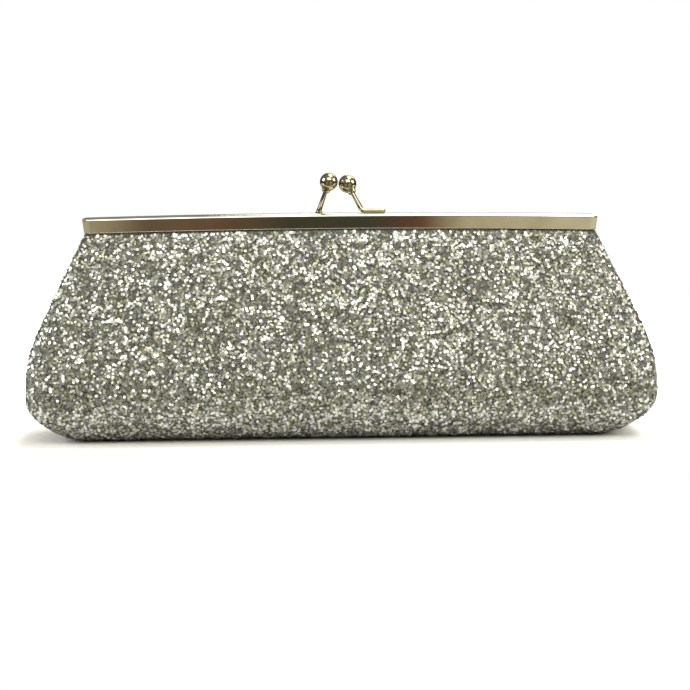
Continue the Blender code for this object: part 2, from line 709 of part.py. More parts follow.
def main():
    for old in list(bpy.data.objects):
        bpy.data.objects.remove(old)
    build_bottom()
    for prefix, side in (("front", -1), ("rear", 1)):
        build_wall(prefix, side)
        build_rail(prefix, side)
        build_paper_cord(prefix, side)
    build_pocket()
    outer_arm = outer_arm_place()
    inner_arm = outer_arm - ARM_THICKNESS - GAP
    for word, end in (("left", -1), ("right", 1)):
        build_gusset(word + "_gusset", "glitter", end, 0.0, FABRIC)
        build_gusset(word + "_gusset_lining", "lining", end, FABRIC + GAP, LINING)
        build_arm("front_arm_" + word, -1, end, outer_arm, RIVET_RADIUS + RIVET_PLAY)
        build_arm("rear_arm_" + word, 1, end, inner_arm, RIVET_RADIUS + GAP)
        build_rivet("hinge_rivet_" + word, end)
    build_front_clasp()
    build_rear_clasp()
    build_hinges()


main()
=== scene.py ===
import json
from functools import partial
from math import acos, asin, atan2, cos, hypot, pi, radians, sin, sqrt, tan

import bmesh
import bpy
import numpy as np
from mathutils import Matrix, Vector, noise


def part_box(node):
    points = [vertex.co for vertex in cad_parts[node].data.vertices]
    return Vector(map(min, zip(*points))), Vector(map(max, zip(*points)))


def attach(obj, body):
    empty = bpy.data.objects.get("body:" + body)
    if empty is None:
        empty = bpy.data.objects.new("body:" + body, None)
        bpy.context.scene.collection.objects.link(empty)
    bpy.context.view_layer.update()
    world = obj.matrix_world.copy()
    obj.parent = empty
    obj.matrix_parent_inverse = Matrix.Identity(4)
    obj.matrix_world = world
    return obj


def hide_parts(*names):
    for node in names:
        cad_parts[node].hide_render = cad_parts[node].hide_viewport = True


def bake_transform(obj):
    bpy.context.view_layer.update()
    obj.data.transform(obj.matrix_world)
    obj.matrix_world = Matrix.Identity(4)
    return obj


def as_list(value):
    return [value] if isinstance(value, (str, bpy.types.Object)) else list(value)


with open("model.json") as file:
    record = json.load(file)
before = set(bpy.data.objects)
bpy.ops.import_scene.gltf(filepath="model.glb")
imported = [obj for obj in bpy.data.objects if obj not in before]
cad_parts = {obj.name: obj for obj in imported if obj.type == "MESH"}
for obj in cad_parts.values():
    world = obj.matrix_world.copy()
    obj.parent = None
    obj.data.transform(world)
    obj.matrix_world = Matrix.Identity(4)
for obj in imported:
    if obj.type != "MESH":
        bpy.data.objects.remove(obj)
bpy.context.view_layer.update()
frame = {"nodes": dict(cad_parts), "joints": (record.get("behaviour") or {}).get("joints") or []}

# Glitter evening bag on a straight nickel frame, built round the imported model.
# Lengths are in metres; "depth" is a distance from the bag's middle plane, y = 0.

mm = 0.001
nodes = frame["nodes"]
hinges = {joint["name"]: Vector(joint["pos_m"]) for joint in frame["joints"]}
print("frame loaded:", len(nodes), "nodes")


def feed(node, inputs):
    # sets each input, or links it to a socket or to another node's first output
    for key, value in inputs.items():
        if isinstance(value, bpy.types.Node):
            value = value.outputs[0]
        if isinstance(value, bpy.types.NodeSocket):
            node.id_data.links.new(value, node.inputs[key])
        else:
            node.inputs[key].default_value = value


def linear(hexColour):
    # sRGB hex to the linear colour that a socket takes
    parts = [int(hexColour[i:i + 2], 16) / 255 for i in (1, 3, 5)]
    return tuple(c / 12.92 if c <= 0.04045 else ((c + 0.055) / 1.055) ** 2.4 for c in parts) + (1,)


def addNode(tree, kind, inputs={}, stops=(), **settings):
    # stops are a colour ramp's places and colours
    node = tree.nodes.new(kind)
    for key, value in settings.items():
        setattr(node, key, value)
    feed(node, inputs)
    if stops:
        elements = node.color_ramp.elements
        while len(elements) < len(stops):
            elements.new(0.5)
        for element, (position, colour) in zip(elements, stops):
            element.position, element.color = position, linear(colour)
    return node


def newMaterial(name, colour, roughness, metallic=0.0, **more):
    # a Principled material; more holds sockets that are the same all over
    material = bpy.data.materials.new(name)
    material.use_nodes = True
    shader = material.node_tree.nodes["Principled BSDF"]
    feed(shader, {
        "Base Color": linear(colour), "Roughness": roughness, "Metallic": metallic, **more})
    return material, shader, partial(addNode, material.node_tree)


def paint(shader, pattern, stops, strength=0, distance=0, height=None, **more):
    # how most materials end: colours and a bump that follow one pattern, or two
    add = partial(addNode, shader.id_data)
    more["Base Color"] = add("ShaderNodeValToRGB", {"Fac": pattern}, stops)
    if strength:
        more["Normal"] = add("ShaderNodeBump", {
            "Strength": strength, "Distance": distance,
            "Height": pattern if height is None else height})
    feed(shader, more)


def newPiece(name, data, *materials):
    piece = bpy.data.objects.new(name, data)
    bpy.context.scene.collection.objects.link(piece)
    for material in materials:
        data.materials.append(material)
    return piece


def plainMesh(source, name):
    # the evaluated object as a plain mesh piece; the source goes
    bpy.context.view_layer.update()
    evaluated = source.evaluated_get(bpy.context.evaluated_depsgraph_get())
    mesh = bpy.data.meshes.new_from_object(evaluated)
    mesh.transform(source.matrix_world)
    mesh.name = name
    old = source.data
    bpy.data.objects.remove(source)
    if isinstance(old, bpy.types.Mesh):
        bpy.data.meshes.remove(old)
    return newPiece(name, mesh)


def meshOf(shape, name, sharpFrom=None):
    # a finished bmesh as a smooth mesh, with edges sharp from an angle on
    mesh = bpy.data.meshes.new(name)
    shape.to_mesh(mesh)
    shape.free()
    mesh.shade_smooth()
    if sharpFrom:
        mesh.set_sharp_from_angle(angle=radians(sharpFrom))
    return mesh


def newTree(name, sizes):
    tree = bpy.data.node_groups.new(name, "GeometryNodeTree")
    tree.interface.new_socket("Geometry", in_out="INPUT", socket_type="NodeSocketGeometry")
    for label, kind in sizes.items():
        tree.interface.new_socket(label, in_out="INPUT", socket_type="NodeSocket" + kind)
    tree.interface.new_socket("Geometry", in_out="OUTPUT", socket_type="NodeSocketGeometry")
    given, out = tree.nodes.new("NodeGroupInput"), tree.nodes.new("NodeGroupOutput")
    return tree, given.outputs, out, partial(addNode, tree)


def useTree(source, tree, name, inputs):
    # runs a node tree on an object and returns what it makes
    modifier = source.modifiers.new("shape", "NODES")
    modifier.node_group = tree
    for item in tree.interface.items_tree:
        if item.item_type == "SOCKET" and item.in_out == "INPUT" and item.name in inputs:
            modifier[item.identifier] = inputs[item.name]
    return plainMesh(source, name)


def claim(piece, body, slot, *replaced):
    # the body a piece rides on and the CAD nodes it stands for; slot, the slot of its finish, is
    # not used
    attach(piece, body)
    if replaced:
        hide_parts(*replaced)


bothWalls = (("front", -1), ("rear", 1))


bag = dict(
    cornerRadius=20 * mm,  # lower corners of the walls
    sideRadius=45 * mm,  # eases the slanting side into the upright one
    sideRadiusHeight=26 * mm,
    bellyRadius=18 * mm,  # lower front edge
    sideSeamDrop=4 * mm,  # how far the side seams lie behind the face
    sideSeamRounding=10 * mm,
    railRise=1.2 * mm,
    railWall=0.7 * mm,
    railEndSlant=0.8 * mm,
    gap=0.3 * mm,
    fabric=0.9 * mm,
    foam=1.5 * mm,
    board=1.0 * mm,
    lining=0.4 * mm,
    seamAllowance=8 * mm,
    foamTopMargin=13 * mm,
    liningTaper=6 * mm,
    tuckAtRail=13 * mm,  # how deep the gusset's fold runs in under the rails
)
seamDepthLow, seamHeight = -hinges["front_wall_tilt"].y, hinges["front_wall_tilt"].z
mouthDepth, railBase = -hinges["front_frame_swing"].y, hinges["front_frame_swing"].z
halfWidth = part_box("front_panel")[1].x
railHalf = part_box("front_rail")[1].x
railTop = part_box("front_rail")[1].z - bag["railRise"]
railOuter = -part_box("front_rail")[0].y
railInner = -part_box("front_rail")[1].y
mouthHalf = railHalf - bag["railEndSlant"] - bag["gap"]
seamAngle = -asin((bag["bellyRadius"] - seamHeight) / bag["bellyRadius"])
flatDepth = seamDepthLow - bag["bellyRadius"] * cos(seamAngle)


def tangentAngle(start, centre, radius):
    # angle from upright of the line down from start that touches a circle
    out, down = centre[0] - start[0], start[1] - centre[1]
    return asin(radius / hypot(out, down)) + atan2(out, down)


sideAngle = tangentAngle((mouthHalf, railBase), (
    halfWidth - bag["sideRadius"], bag["sideRadiusHeight"]), bag["sideRadius"])
faceAngle = tangentAngle((mouthDepth, railBase), (
    flatDepth, bag["bellyRadius"]), bag["bellyRadius"])
bellyLength = bag["bellyRadius"] * (faceAngle - seamAngle)
arcTop = bag["bellyRadius"] * (1 + sin(faceAngle))
wallLength = bellyLength + (railBase - arcTop) / cos(faceAngle)
liningDepth = bag["fabric"] + bag["foam"] + bag["board"] + 3 * bag["gap"]


def widthAt(z):
    # half the walls' width at a height, out to the side seam
    corner = bag["cornerRadius"]
    if z < corner:
        share = (corner - max(z, seamHeight)) / (corner - seamHeight)
        return halfWidth - corner * (1 - sqrt(max(0.0, 1 - share**2)))
    if z < bag["sideRadiusHeight"]:
        return halfWidth
    if z < bag["sideRadiusHeight"] + bag["sideRadius"] * sin(sideAngle):
        lean = asin((z - bag["sideRadiusHeight"]) / bag["sideRadius"])
        return halfWidth - bag["sideRadius"] * (1 - cos(lean))
    return mouthHalf + (railBase - min(z, railBase)) * tan(sideAngle)


def wallProfile(along):
    # depth, height and outward normal of the face, a distance up from the bottom seam
    radius = bag["bellyRadius"]
    if along < bellyLength:
        angle = seamAngle + along / radius
        normal = (cos(angle), sin(angle))
        return flatDepth + radius * normal[0], radius + radius * normal[1], normal
    normal = (cos(faceAngle), sin(faceAngle))
    if along <= wallLength:
        rest = wallLength - along
        return (mouthDepth + rest * normal[1], arcTop + (along - bellyLength) * normal[0], normal)
    return mouthDepth, railBase + along - wallLength, (1.0, 0.0)


def seamDrop(z):
    # how far the side seam lies behind the face, none at the bottom and at the rail
    fromBottom = (z - seamHeight) / (bag["cornerRadius"] - seamHeight)
    fromRail = (railBase - z) / (railBase / 2)
    return bag["sideSeamDrop"] * max(0.0, min(1.0, fromBottom, fromRail))


def archAt(x, share=1.0):
    # rise of the rails, and of a share of it lower down the walls
    return bag["railRise"] * share * (1 - min(1.0, abs(x) / railHalf) ** 2)


def wallPoint(side, across, along, depth, edge=None):
    # side is -1 in front, across runs -1 to 1 between the side seams, depth is below the face
    face, height, normal = wallProfile(along)
    if edge is None:
        edge = widthAt(height)
        if along > wallLength:
            edge = railHalf - bag["railEndSlant"] - bag["railWall"] - 2 * bag["gap"]
    x = across * edge
    margin = min(1.0, max(0.0, widthAt(height) - abs(x)) / bag["sideSeamRounding"])
    below = depth + seamDrop(height) * (1 - sqrt(1 - (1 - margin) ** 2))
    up = archAt(x, min(1.0, max(0.0, along) / wallLength) ** 2)
    return Vector((x, side * (face - below * normal[0]), height - below * normal[1] + up))


def seamDepthAt(z):
    # depth of the side seam
    if z < arcTop:
        rise = (z - bag["bellyRadius"]) / bag["bellyRadius"]
        face = flatDepth + bag["bellyRadius"] * sqrt(1 - rise**2)
    else:
        face = mouthDepth + (railBase - z) * tan(faceAngle)
    return face - seamDrop(z)


def bellyRise(depth):
    # height of the rounded underside
    over = max(0.0, abs(depth) - flatDepth)
    return bag["bellyRadius"] - sqrt(bag["bellyRadius"] ** 2 - over**2)


def smooth(value):
    # eases from 0 to 1, and stays there
    value = max(0.0, min(1.0, value))
    return value * value * (3 - 2 * value)


def wavy(x, y, z):
    return noise.noise(Vector((x, y, z)))


def spread(count, low=0.0, high=1.0):
    return [low + (high - low) * k / count for k in range(count + 1)]


def edgeSpread(count):
    # from -1 to 1, with closer steps towards both ends
    return [t * (3 - t * t) / 2 for t in spread(count, -1, 1)]


def gridMesh(name, surface, columns, rows, flat, thickness=None, flip=False):
    # a sheet over a surface of (across, along, depth); closed where a thickness is given.
    # Its UV map holds the flat cloth's place in metres.
    shape = bmesh.new()
    layer = shape.loops.layers.uv.new("clothUV")
    place = {}
    grids = []
    for depth in ([0.0] if thickness is None else [0.0, thickness]):
        grid = []
        for b in rows:
            line = []
            for a in columns:
                vert = shape.verts.new(surface(a, b, depth))
                place[vert] = flat(a, b)
                line.append(vert)
            grid.append(line)
        grids.append(grid)
    for number, grid in enumerate(grids):
        for row, above in zip(grid, grid[1:]):
            for k in range(len(row) - 1):
                quad = (row[k], row[k + 1], above[k + 1], above[k])
                shape.faces.new(quad[::-1] if flip != bool(number) else quad)
    if thickness is not None:
        rims = [
            grid[0] + [row[-1] for row in grid[1:-1]] + grid[-1][::-1]
            + [row[0] for row in grid[-2:0:-1]]
            for grid in grids
        ]
        for k in range(len(rims[0])):
            shape.faces.new((rims[0][k - 1], rims[0][k], rims[1][k], rims[1][k - 1]))
        bmesh.ops.recalc_face_normals(shape, faces=shape.faces)
    for face in shape.faces:
        for loop in face.loops:
            loop[layer].uv = place[loop.vert]
    return meshOf(shape, name, thickness and 50)


def gridPiece(name, material, *grid):
    return newPiece(name, gridMesh(name, *grid), material)


glitter = dict(
    flakeWidth=0.98 * mm,  # across flats
    flakeSpacing=0.74 * mm,
    mostFlakes=9.0e6,  # tried places in a square metre, before the spacing thins them
    flakeSizes=(0.6, 1.25),  # smallest and largest share of the width
    flakeTilt=13,  # degrees, most lean of one flake either way
    driftTilt=21,  # degrees, lean that neighbouring flakes share
    driftSize=3.0 * mm,
    lift=0.10 * mm,
    lifts=(0.4, 1.9),  # least and most share of the lift
    patchSize=4 * mm,  # of lighter and darker drifts
    patchShare=1.4,  # how far a drift moves the choice of foil
    seed=11,
    # share of flakes up to here, colour, roughness: foils cut from silver and pale gold film
    foils=[
        (0.12, "#4E4E4C", 0.42),
        (0.27, "#72717A", 0.38),
        (0.42, "#80816A", 0.40),
        (0.58, "#92928E", 0.36),
        (0.72, "#A5A68C", 0.36),
        (0.86, "#B1B1AF", 0.33),
        (1.00, "#CDCDC6", 0.32),
    ],
)


def clothPlace(add, width, length):
    # the sheet's own flat place, counted in cells of a pattern
    uv = add("ShaderNodeUVMap", uv_map="clothUV")
    return add("ShaderNodeVectorMath", {0: uv, 1: (1 / width, 1 / length, 1)}, operation="MULTIPLY")


def makeGlitterCloth():
    # Glitter canvas: fine crushed foil in lacquer on woven backing. Grains of 0.35 mm differ in
    # tone and lean, so it looks like dull crushed metal between the large flakes.
    material, shader, add = newMaterial("glitterCanvas", "#6E6F62", 0.5, 0.55)
    place = clothPlace(add, 0.35 * mm, 0.35 * mm)
    grain = add("ShaderNodeTexVoronoi", {"Vector": place, "Scale": 1.0}).outputs
    drift = add("ShaderNodeTexNoise", {
        "Vector": clothPlace(add, 9 * mm, 9 * mm), "Scale": 1.0, "Detail": 3.0})
    tone = add("ShaderNodeSeparateColor", {"Color": grain["Color"]})
    mixed = add("ShaderNodeMath", {0: drift, 1: 0.35, 2: tone}, operation="MULTIPLY_ADD")
    rough = add("ShaderNodeMapRange", {"Value": tone, "To Min": 0.3, "To Max": 0.62})
    stops = [(0.12, "#24251F"), (0.45, "#3E3F36"), (0.75, "#5C5D50"), (1.0, "#85857A")]
    paint(shader, mixed, stops, 0.8, 0.12 * mm, grain["Distance"], Roughness=rough)
    return material


def makeFoils():
    # Hex-cut metallised film: small flat mirrors with a slightly soft gloss
    return [
        newMaterial(f"foilFlake{number}", colour, roughness, 1.0)[0]
        for number, (_, colour, roughness) in enumerate(glitter["foils"], 1)
    ]


def makeNickel(name, colour, dulled, roughness, scratch, rim="#FFFFFF"):
    # Nickel plate on polished steel: warm mirror with faint haze patches and hairline wipe marks
    # rim tints the reflection at grazing edges; a dark rim is a painted dark reflection
    material, shader, add = newMaterial(
        name, colour, roughness, 1.0, **{"Specular Tint": linear(rim)})
    coords = add("ShaderNodeTexCoord").outputs["Object"]
    haze = add("ShaderNodeTexNoise", {
        "Vector": coords, "Scale": 1 / (14 * mm), "Detail": 4.0, "Roughness": 0.6})
    rough = add("ShaderNodeMapRange", {
        "Value": haze, "From Min": 0.35, "From Max": 0.7,
        "To Min": roughness * 0.75, "To Max": roughness * 1.6})
    stretch = add("ShaderNodeMapping", {
        "Vector": coords, "Scale": (60, 1 / (0.3 * mm), 1 / (0.3 * mm))})
    marks = add("ShaderNodeTexNoise", {"Vector": stretch, "Scale": 1.0, "Detail": 2.0})
    stops = [(0.3, colour), (0.75, dulled)]
    paint(shader, haze, stops, scratch, 0.004 * mm, marks, Roughness=rough)
    return material


def makeSatin():
    # Polyester satin: dark, with a soft sheen and long floats across the cloth.
    # Real threads are 0.1 mm, drawn at 0.35 mm so that they show.
    width = 0.35 * mm
    material, shader, add = newMaterial(
        "satinLining", "#1E1E22", 0.42, **{"Sheen Weight": 0.35, "Sheen Roughness": 0.4})
    floats = add("ShaderNodeTexNoise", {
        "Vector": clothPlace(add, width, 2.4 * mm), "Scale": 1.0, "Detail": 2.0})
    threads = add("ShaderNodeTexWave", {
        "Vector": clothPlace(add, width, width), "Scale": 0.31, "Distortion": 0.6})
    height = add("ShaderNodeMath", {
        0: floats, 1: 0.6, 2: threads.outputs["Fac"]}, operation="MULTIPLY_ADD")
    paint(shader, floats, [(0.3, "#151518"), (0.7, "#2C2C33")], 0.35, 0.05 * mm, height)
    return material


def makeFleece():
    # Needled padding fleece: off-white, matt, with soft lumps about 1 mm across
    material, shader, add = newMaterial("paddingFleece", "#E6E3D6", 0.95)
    coords = add("ShaderNodeTexCoord").outputs["Object"]
    lumps = add("ShaderNodeTexNoise", {"Vector": coords, "Scale": 1 / (1.2 * mm), "Detail": 5.0})
    paint(shader, lumps, [(0.3, "#CFCBBB"), (0.7, "#EFECE2")], 0.6, 0.3 * mm)
    return material


def makeGreyBoard():
    # Recycled greyboard: matt, flecked with darker fibres about half a millimetre long
    material, shader, add = newMaterial("greyBoard", "#9A8F80", 0.88)
    coords = add("ShaderNodeTexCoord").outputs["Object"]
    fibre = add("ShaderNodeTexNoise", {
        "Vector": coords, "Scale": 1 / (0.8 * mm), "Detail": 6.0, "Distortion": 1.5})
    paint(shader, fibre, [(0.35, "#6F665B"), (0.5, "#958A7B"), (0.7, "#A99E8F")], 0.3, 0.05 * mm)
    return material


def makePaperCord():
    # Twisted kraft paper: brown, matt, with slanting ridges one per 1.6 mm of its length
    material, shader, add = newMaterial("kraftPaperCord", "#A98A5E", 0.85)
    coords = add("ShaderNodeTexCoord").outputs["Object"]
    turned = add("ShaderNodeMapping", {
        "Vector": coords, "Rotation": (0, 0.7, 0), "Scale": (1 / (1.6 * mm),) * 3})
    ridges = add("ShaderNodeTexWave", {"Vector": turned, "Scale": 0.32, "Distortion": 0.8})
    paint(shader, ridges.outputs["Fac"], [(0.0, "#7D6340"), (0.6, "#B59568")], 0.7, 0.15 * mm)
    return material


def makeThread():
    # Polyester sewing thread: dark, faintly shiny, with a twist every 0.4 mm
    material, shader, add = newMaterial("sewingThread", "#2A2A2E", 0.5, **{"Sheen Weight": 0.3})
    coords = add("ShaderNodeTexCoord").outputs["Object"]
    twist = add("ShaderNodeTexWave", {
        "Vector": coords, "Scale": 0.31 / (0.4 * mm), "Distortion": 0.3},
        bands_direction="DIAGONAL")
    paint(shader, twist.outputs["Fac"], [(0.0, "#1C1C1F"), (1.0, "#3C3C42")])
    return material


glitterCloth = makeGlitterCloth()
foils = makeFoils()
nickelPlate = makeNickel("nickelPlate", "#DEDACB", "#CBC5B1", 0.035, 0.05)
# the same nickel plate on the clasp and rivets, with its colour darkened and its edge tint olive:
# painted shade and a painted dark rim reflection standing in for dim surroundings
nickelPaintedShade = makeNickel("nickelWithPaintedShade", "#A39D86", "#8C866E", 0.09, 0.2, "#77725C")
satin = makeSatin()
fleece = makeFleece()
greyBoard = makeGreyBoard()
kraftCord = makePaperCord()
thread = makeThread()
print("materials made")


def makeFlakeTree():
    # hexagons of foil scattered over a sheet's face
    tree, given, out, add = newTree("glitterFlakes", {
        "Flake Width": "Float", "Spacing": "Float", "Tilt": "Float", "Drift Tilt": "Float",
        "Drift Size": "Float", "Lift": "Float", "Patch Size": "Float", "Seed": "Int"})
    seed = given["Seed"]
    points = add("GeometryNodeDistributePointsOnFaces", {
        "Mesh": given["Geometry"], "Distance Min": given["Spacing"],
        "Density Max": glitter["mostFlakes"], "Seed": seed}, distribute_method="POISSON").outputs
    spot = add("GeometryNodeInputPosition")
    # each flake lies a little above its neighbours or below them
    low, high = glitter["lifts"]
    rise = add("FunctionNodeRandomValue", {2: low, 3: high, "Seed": seed}, data_type="FLOAT")
    height = add("ShaderNodeMath", {0: rise.outputs[1], 1: given["Lift"]}, operation="MULTIPLY")
    offset = add("ShaderNodeVectorMath", {0: points["Normal"], "Scale": height}, operation="SCALE")
    lifted = add("GeometryNodeSetPosition", {"Geometry": points["Points"], "Offset": offset})
    # lean and spin of each flake, and the lean that neighbours share
    lean = add("FunctionNodeRandomValue", {
        0: (-1, -1, 0), 1: (1, 1, 12), "Seed": seed}, data_type="FLOAT_VECTOR")
    tilt = add("ShaderNodeCombineXYZ", {"X": given["Tilt"], "Y": given["Tilt"], "Z": 1.0})
    leaned = add("ShaderNodeVectorMath", {0: lean, 1: tilt}, operation="MULTIPLY")
    perDrift = add("ShaderNodeMath", {0: 1.0, 1: given["Drift Size"]}, operation="DIVIDE")
    shared = add("ShaderNodeTexNoise", {"Vector": spot, "Scale": perDrift, "Detail": 1.0})
    centred = add("ShaderNodeVectorMath", {
        0: shared.outputs["Color"], 1: (0.5, 0.5, 0.5)}, operation="SUBTRACT")
    slant = add("ShaderNodeCombineXYZ", {"X": given["Drift Tilt"], "Y": given["Drift Tilt"]})
    slanted = add("ShaderNodeVectorMath", {
        0: centred, 1: slant, 2: leaned}, operation="MULTIPLY_ADD")
    turn = add("FunctionNodeEulerToRotation", {"Euler": slanted})
    rotation = add("FunctionNodeRotateRotation", {
        "Rotation": points["Rotation"], "Rotate By": turn}, rotation_space="LOCAL")
    low, high = glitter["flakeSizes"]
    size = add("FunctionNodeRandomValue", {2: low, 3: high, "Seed": seed}, data_type="FLOAT")
    radius = add("ShaderNodeMath", {
        0: given["Flake Width"], 1: 1 / sqrt(3)}, operation="MULTIPLY")
    hexagon = add("GeometryNodeMeshCircle", {"Vertices": 6, "Radius": radius}, fill_type="NGON")
    flakes = add("GeometryNodeInstanceOnPoints", {
        "Points": lifted, "Instance": hexagon, "Rotation": rotation, "Scale": size.outputs[1]})
    # which foil a flake is cut from: mostly chance, a little by drift
    share = glitter["patchShare"]
    chance = add("FunctionNodeRandomValue", {"Seed": seed}, data_type="FLOAT")
    perPatch = add("ShaderNodeMath", {0: 1.0, 1: given["Patch Size"]}, operation="DIVIDE")
    drift = add("ShaderNodeTexNoise", {"Vector": spot, "Scale": perPatch, "Detail": 2.0})
    swing = add("ShaderNodeMath", {0: drift, 1: share, 2: -share / 2}, operation="MULTIPLY_ADD")
    pick = add("ShaderNodeMath", {0: chance.outputs[1], 1: swing}, operation="ADD")
    marked = add("GeometryNodeStoreNamedAttribute", {
        "Geometry": flakes, "Name": "foilPick", "Value": pick},
        data_type="FLOAT", domain="INSTANCE")
    geometry = add("GeometryNodeRealizeInstances", {"Geometry": marked})
    picked = add("GeometryNodeInputNamedAttribute", {"Name": "foilPick"}, data_type="FLOAT")
    start = -1.0
    for (share, _, _), foil in zip(glitter["foils"], foils):
        above = add("FunctionNodeCompare", {
            0: picked.outputs["Attribute"], 1: start}, data_type="FLOAT", operation="GREATER_THAN")
        geometry = add("GeometryNodeSetMaterial", {
            "Geometry": geometry, "Selection": above, "Material": foil})
        start = share
    feed(out, {"Geometry": geometry})
    return tree


flakeTree = makeFlakeTree()


def scatterFlakes(name, faceMesh, seed):
    piece = useTree(newPiece(name + "Base", faceMesh), flakeTree, name, {
        "Flake Width": glitter["flakeWidth"], "Spacing": glitter["flakeSpacing"],
        "Tilt": radians(glitter["flakeTilt"]), "Drift Size": glitter["driftSize"],
        "Drift Tilt": 4 * radians(glitter["driftTilt"]),  # the noise spans about a quarter
        "Lift": glitter["lift"], "Patch Size": glitter["patchSize"], "Seed": glitter["seed"] + seed,
    })
    piece.data.attributes.remove(piece.data.attributes["foilPick"])
    print(name, len(piece.data.polygons), "flakes")
    return piece


gusset = dict(
    columns=26, cornerRows=16, sideRows=48, topDrop=1.2 * mm, foldSoftness=0.09,
    ripple=0.25 * mm, seamGap=0.35 * mm,
    liningLayer=bag["fabric"] + bag["gap"],
    cornerLean=1.25,  # lean of the corner's ramp, height against depth
)


def gussetStation(t):
    # t runs 0 to 1 round the lower corner, then to 2 up the side
    corner = bag["cornerRadius"]
    straight = halfWidth - corner
    if t <= 1:
        out, down = sin(t * pi / 2), cos(t * pi / 2)
        x = straight + corner * out
        return x, corner - (corner - seamHeight) * down, corner * (1 - down), 0.0, (-out, down)
    top = railBase - gusset["topDrop"]
    z = corner + (top - corner) * (t - 1)
    return widthAt(z), z, z, t - 1, (-1.0, 0.0)


def gussetPoint(end, t, across, depth, layer=0.0):
    x, seamZ, middleZ, share, inward = gussetStation(t)
    edge = seamDepthAt(seamZ) - gusset["seamGap"]
    y = across * (edge - layer)
    across = abs(y) / edge
    rise = bellyRise(min(abs(y), seamDepthLow)) / seamHeight
    corner = min(1.0, seamZ / bag["cornerRadius"]) if share == 0 else 1.0
    towardsSeam = rise + (across - rise) * corner
    soft = gusset["foldSoftness"]
    bow = (hypot(across, soft) - soft) / (hypot(1, soft) - soft)
    tuck = bag["tuckAtRail"] * sqrt(share) * (1 - bow)
    wave = gusset["ripple"] * wavy(y / (6 * mm), seamZ / (17 * mm), 40 * end)
    wave *= smooth(share * 4) * smooth((1 - across) * 4) * smooth(across * 5)
    z = middleZ + (seamZ - middleZ) * towardsSeam
    inset = inward[0] * (tuck + depth + layer - wave)
    return Vector((end * (x + inset), y, z + inward[1] * (depth + layer)))


def gussetInside(x, z):
    # how deep below the wall's face the gusset's lining is met, at a place near the side seam
    share = (z - bag["cornerRadius"]) / (railBase - gusset["topDrop"] - bag["cornerRadius"])
    if share <= 0:
        return 1.0
    tuck = bag["tuckAtRail"] * sqrt(min(1.0, share))
    margin = widthAt(z) - abs(x) - bag["fabric"] - bag["gap"] - bag["lining"]
    soft = gusset["foldSoftness"]
    reach = soft + (hypot(1, soft) - soft) * (1 - min(1.0, max(0.0, margin / tuck)))
    return seamDepthAt(z) * (1 - sqrt(max(0.0, reach**2 - soft**2)))


wall = dict(
    columns=180, rows=72,
    swell=0.9 * mm,  # most that the padding pushes the cloth out
    pressure=6.0, frames=20, simColumns=96, simRows=36,
    simHalf=0.97, simTop=0.985,  # shares of the wall's half width and length that swell
    aboveRail=(0.2 * mm, 1.2 * mm, 2.9 * mm),  # rows of the cover inside the rail's channel
    # height, width and length of the cover's bumps, and what sets one pattern off from another:
    # uneven padding, lacquer, low creases over the belly, and gathers under the rail
    bumps=[
        (0.28 * mm, 19 * mm, 14 * mm, 3.1),
        (0.14 * mm, 7 * mm, 6 * mm, 7.7),
        (0.35 * mm, 30 * mm, 4.5 * mm, 12.3),
        (0.25 * mm, 6 * mm, 25 * mm, 21.9),
    ],
    liningEdge=3.2 * mm,  # from the side seam to the lining's own edge
    liningClear=0.6 * mm,  # between the wall's lining and the gusset's
    liningSlack=0.12 * mm,
)


def swellWall(side):
    # Cloth simulation of the cover over its padding: pinned at the seams and the rail, blown
    # out a little. Returns how far each grid point moved outwards, at most the swell.
    columns, rows, half = wall["simColumns"], wall["simRows"], wall["simHalf"]
    across, along = spread(columns, -half, half), spread(rows, 0, wallLength * wall["simTop"])
    mesh = gridMesh("coverSim", lambda a, b, depth: wallPoint(side, a, b, depth), across, along,
                    clothFlat, flip=side > 0)
    cover = newPiece("coverSim", mesh)
    rest = np.array([v.co for v in mesh.vertices])
    normals = np.array([v.normal for v in mesh.vertices])
    pins = cover.vertex_groups.new(name="pins")
    for k in range(len(rest)):
        row, column = divmod(k, columns + 1)
        if row in (0, rows) or column in (0, columns):
            pins.add([k], 1.0, "REPLACE")
    cloth = cover.modifiers.new("cloth", "CLOTH").settings
    cloth.quality = 8
    cloth.mass = 0.25
    cloth.tension_stiffness = cloth.compression_stiffness = 25
    cloth.shear_stiffness = 12
    cloth.bending_stiffness = 0.8
    cloth.shrink_min = -0.0012
    cloth.vertex_group_mass = "pins"
    cloth.use_pressure = True
    cloth.uniform_pressure_force = wall["pressure"]
    cloth.effector_weights.gravity = 0
    scene = bpy.context.scene
    for number in range(1, wall["frames"] + 1):
        scene.frame_set(number)
    evaluated = cover.evaluated_get(bpy.context.evaluated_depsgraph_get())
    moved = np.array([v.co for v in evaluated.data.vertices])
    out = ((moved - rest) * normals).sum(1)
    scene.frame_set(1)
    bpy.data.objects.remove(cover)
    bpy.data.meshes.remove(mesh)
    print("cover simulated, moved", round(out.max() / mm, 2), "mm at most")
    out = np.clip(out, 0, None)
    return (wall["swell"] * np.tanh(out / wall["swell"])).reshape(rows + 1, columns + 1)


def lookUp(field, a, b):
    # value between the points of a simulated grid, at (across, along)
    lastRow, lastColumn = field.shape[0] - 1, field.shape[1] - 1
    u = (a / wall["simHalf"] + 1) / 2 * lastColumn
    v = b / (wallLength * wall["simTop"]) * lastRow
    if not 0 <= u <= lastColumn or not 0 <= v <= lastRow:
        return 0.0
    i, j = min(int(u), lastColumn - 1), min(int(v), lastRow - 1)
    u, v = u - i, v - j
    low = field[j, i] * (1 - u) + field[j, i + 1] * u
    high = field[j + 1, i] * (1 - u) + field[j + 1, i + 1] * u
    return low * (1 - v) + high * v


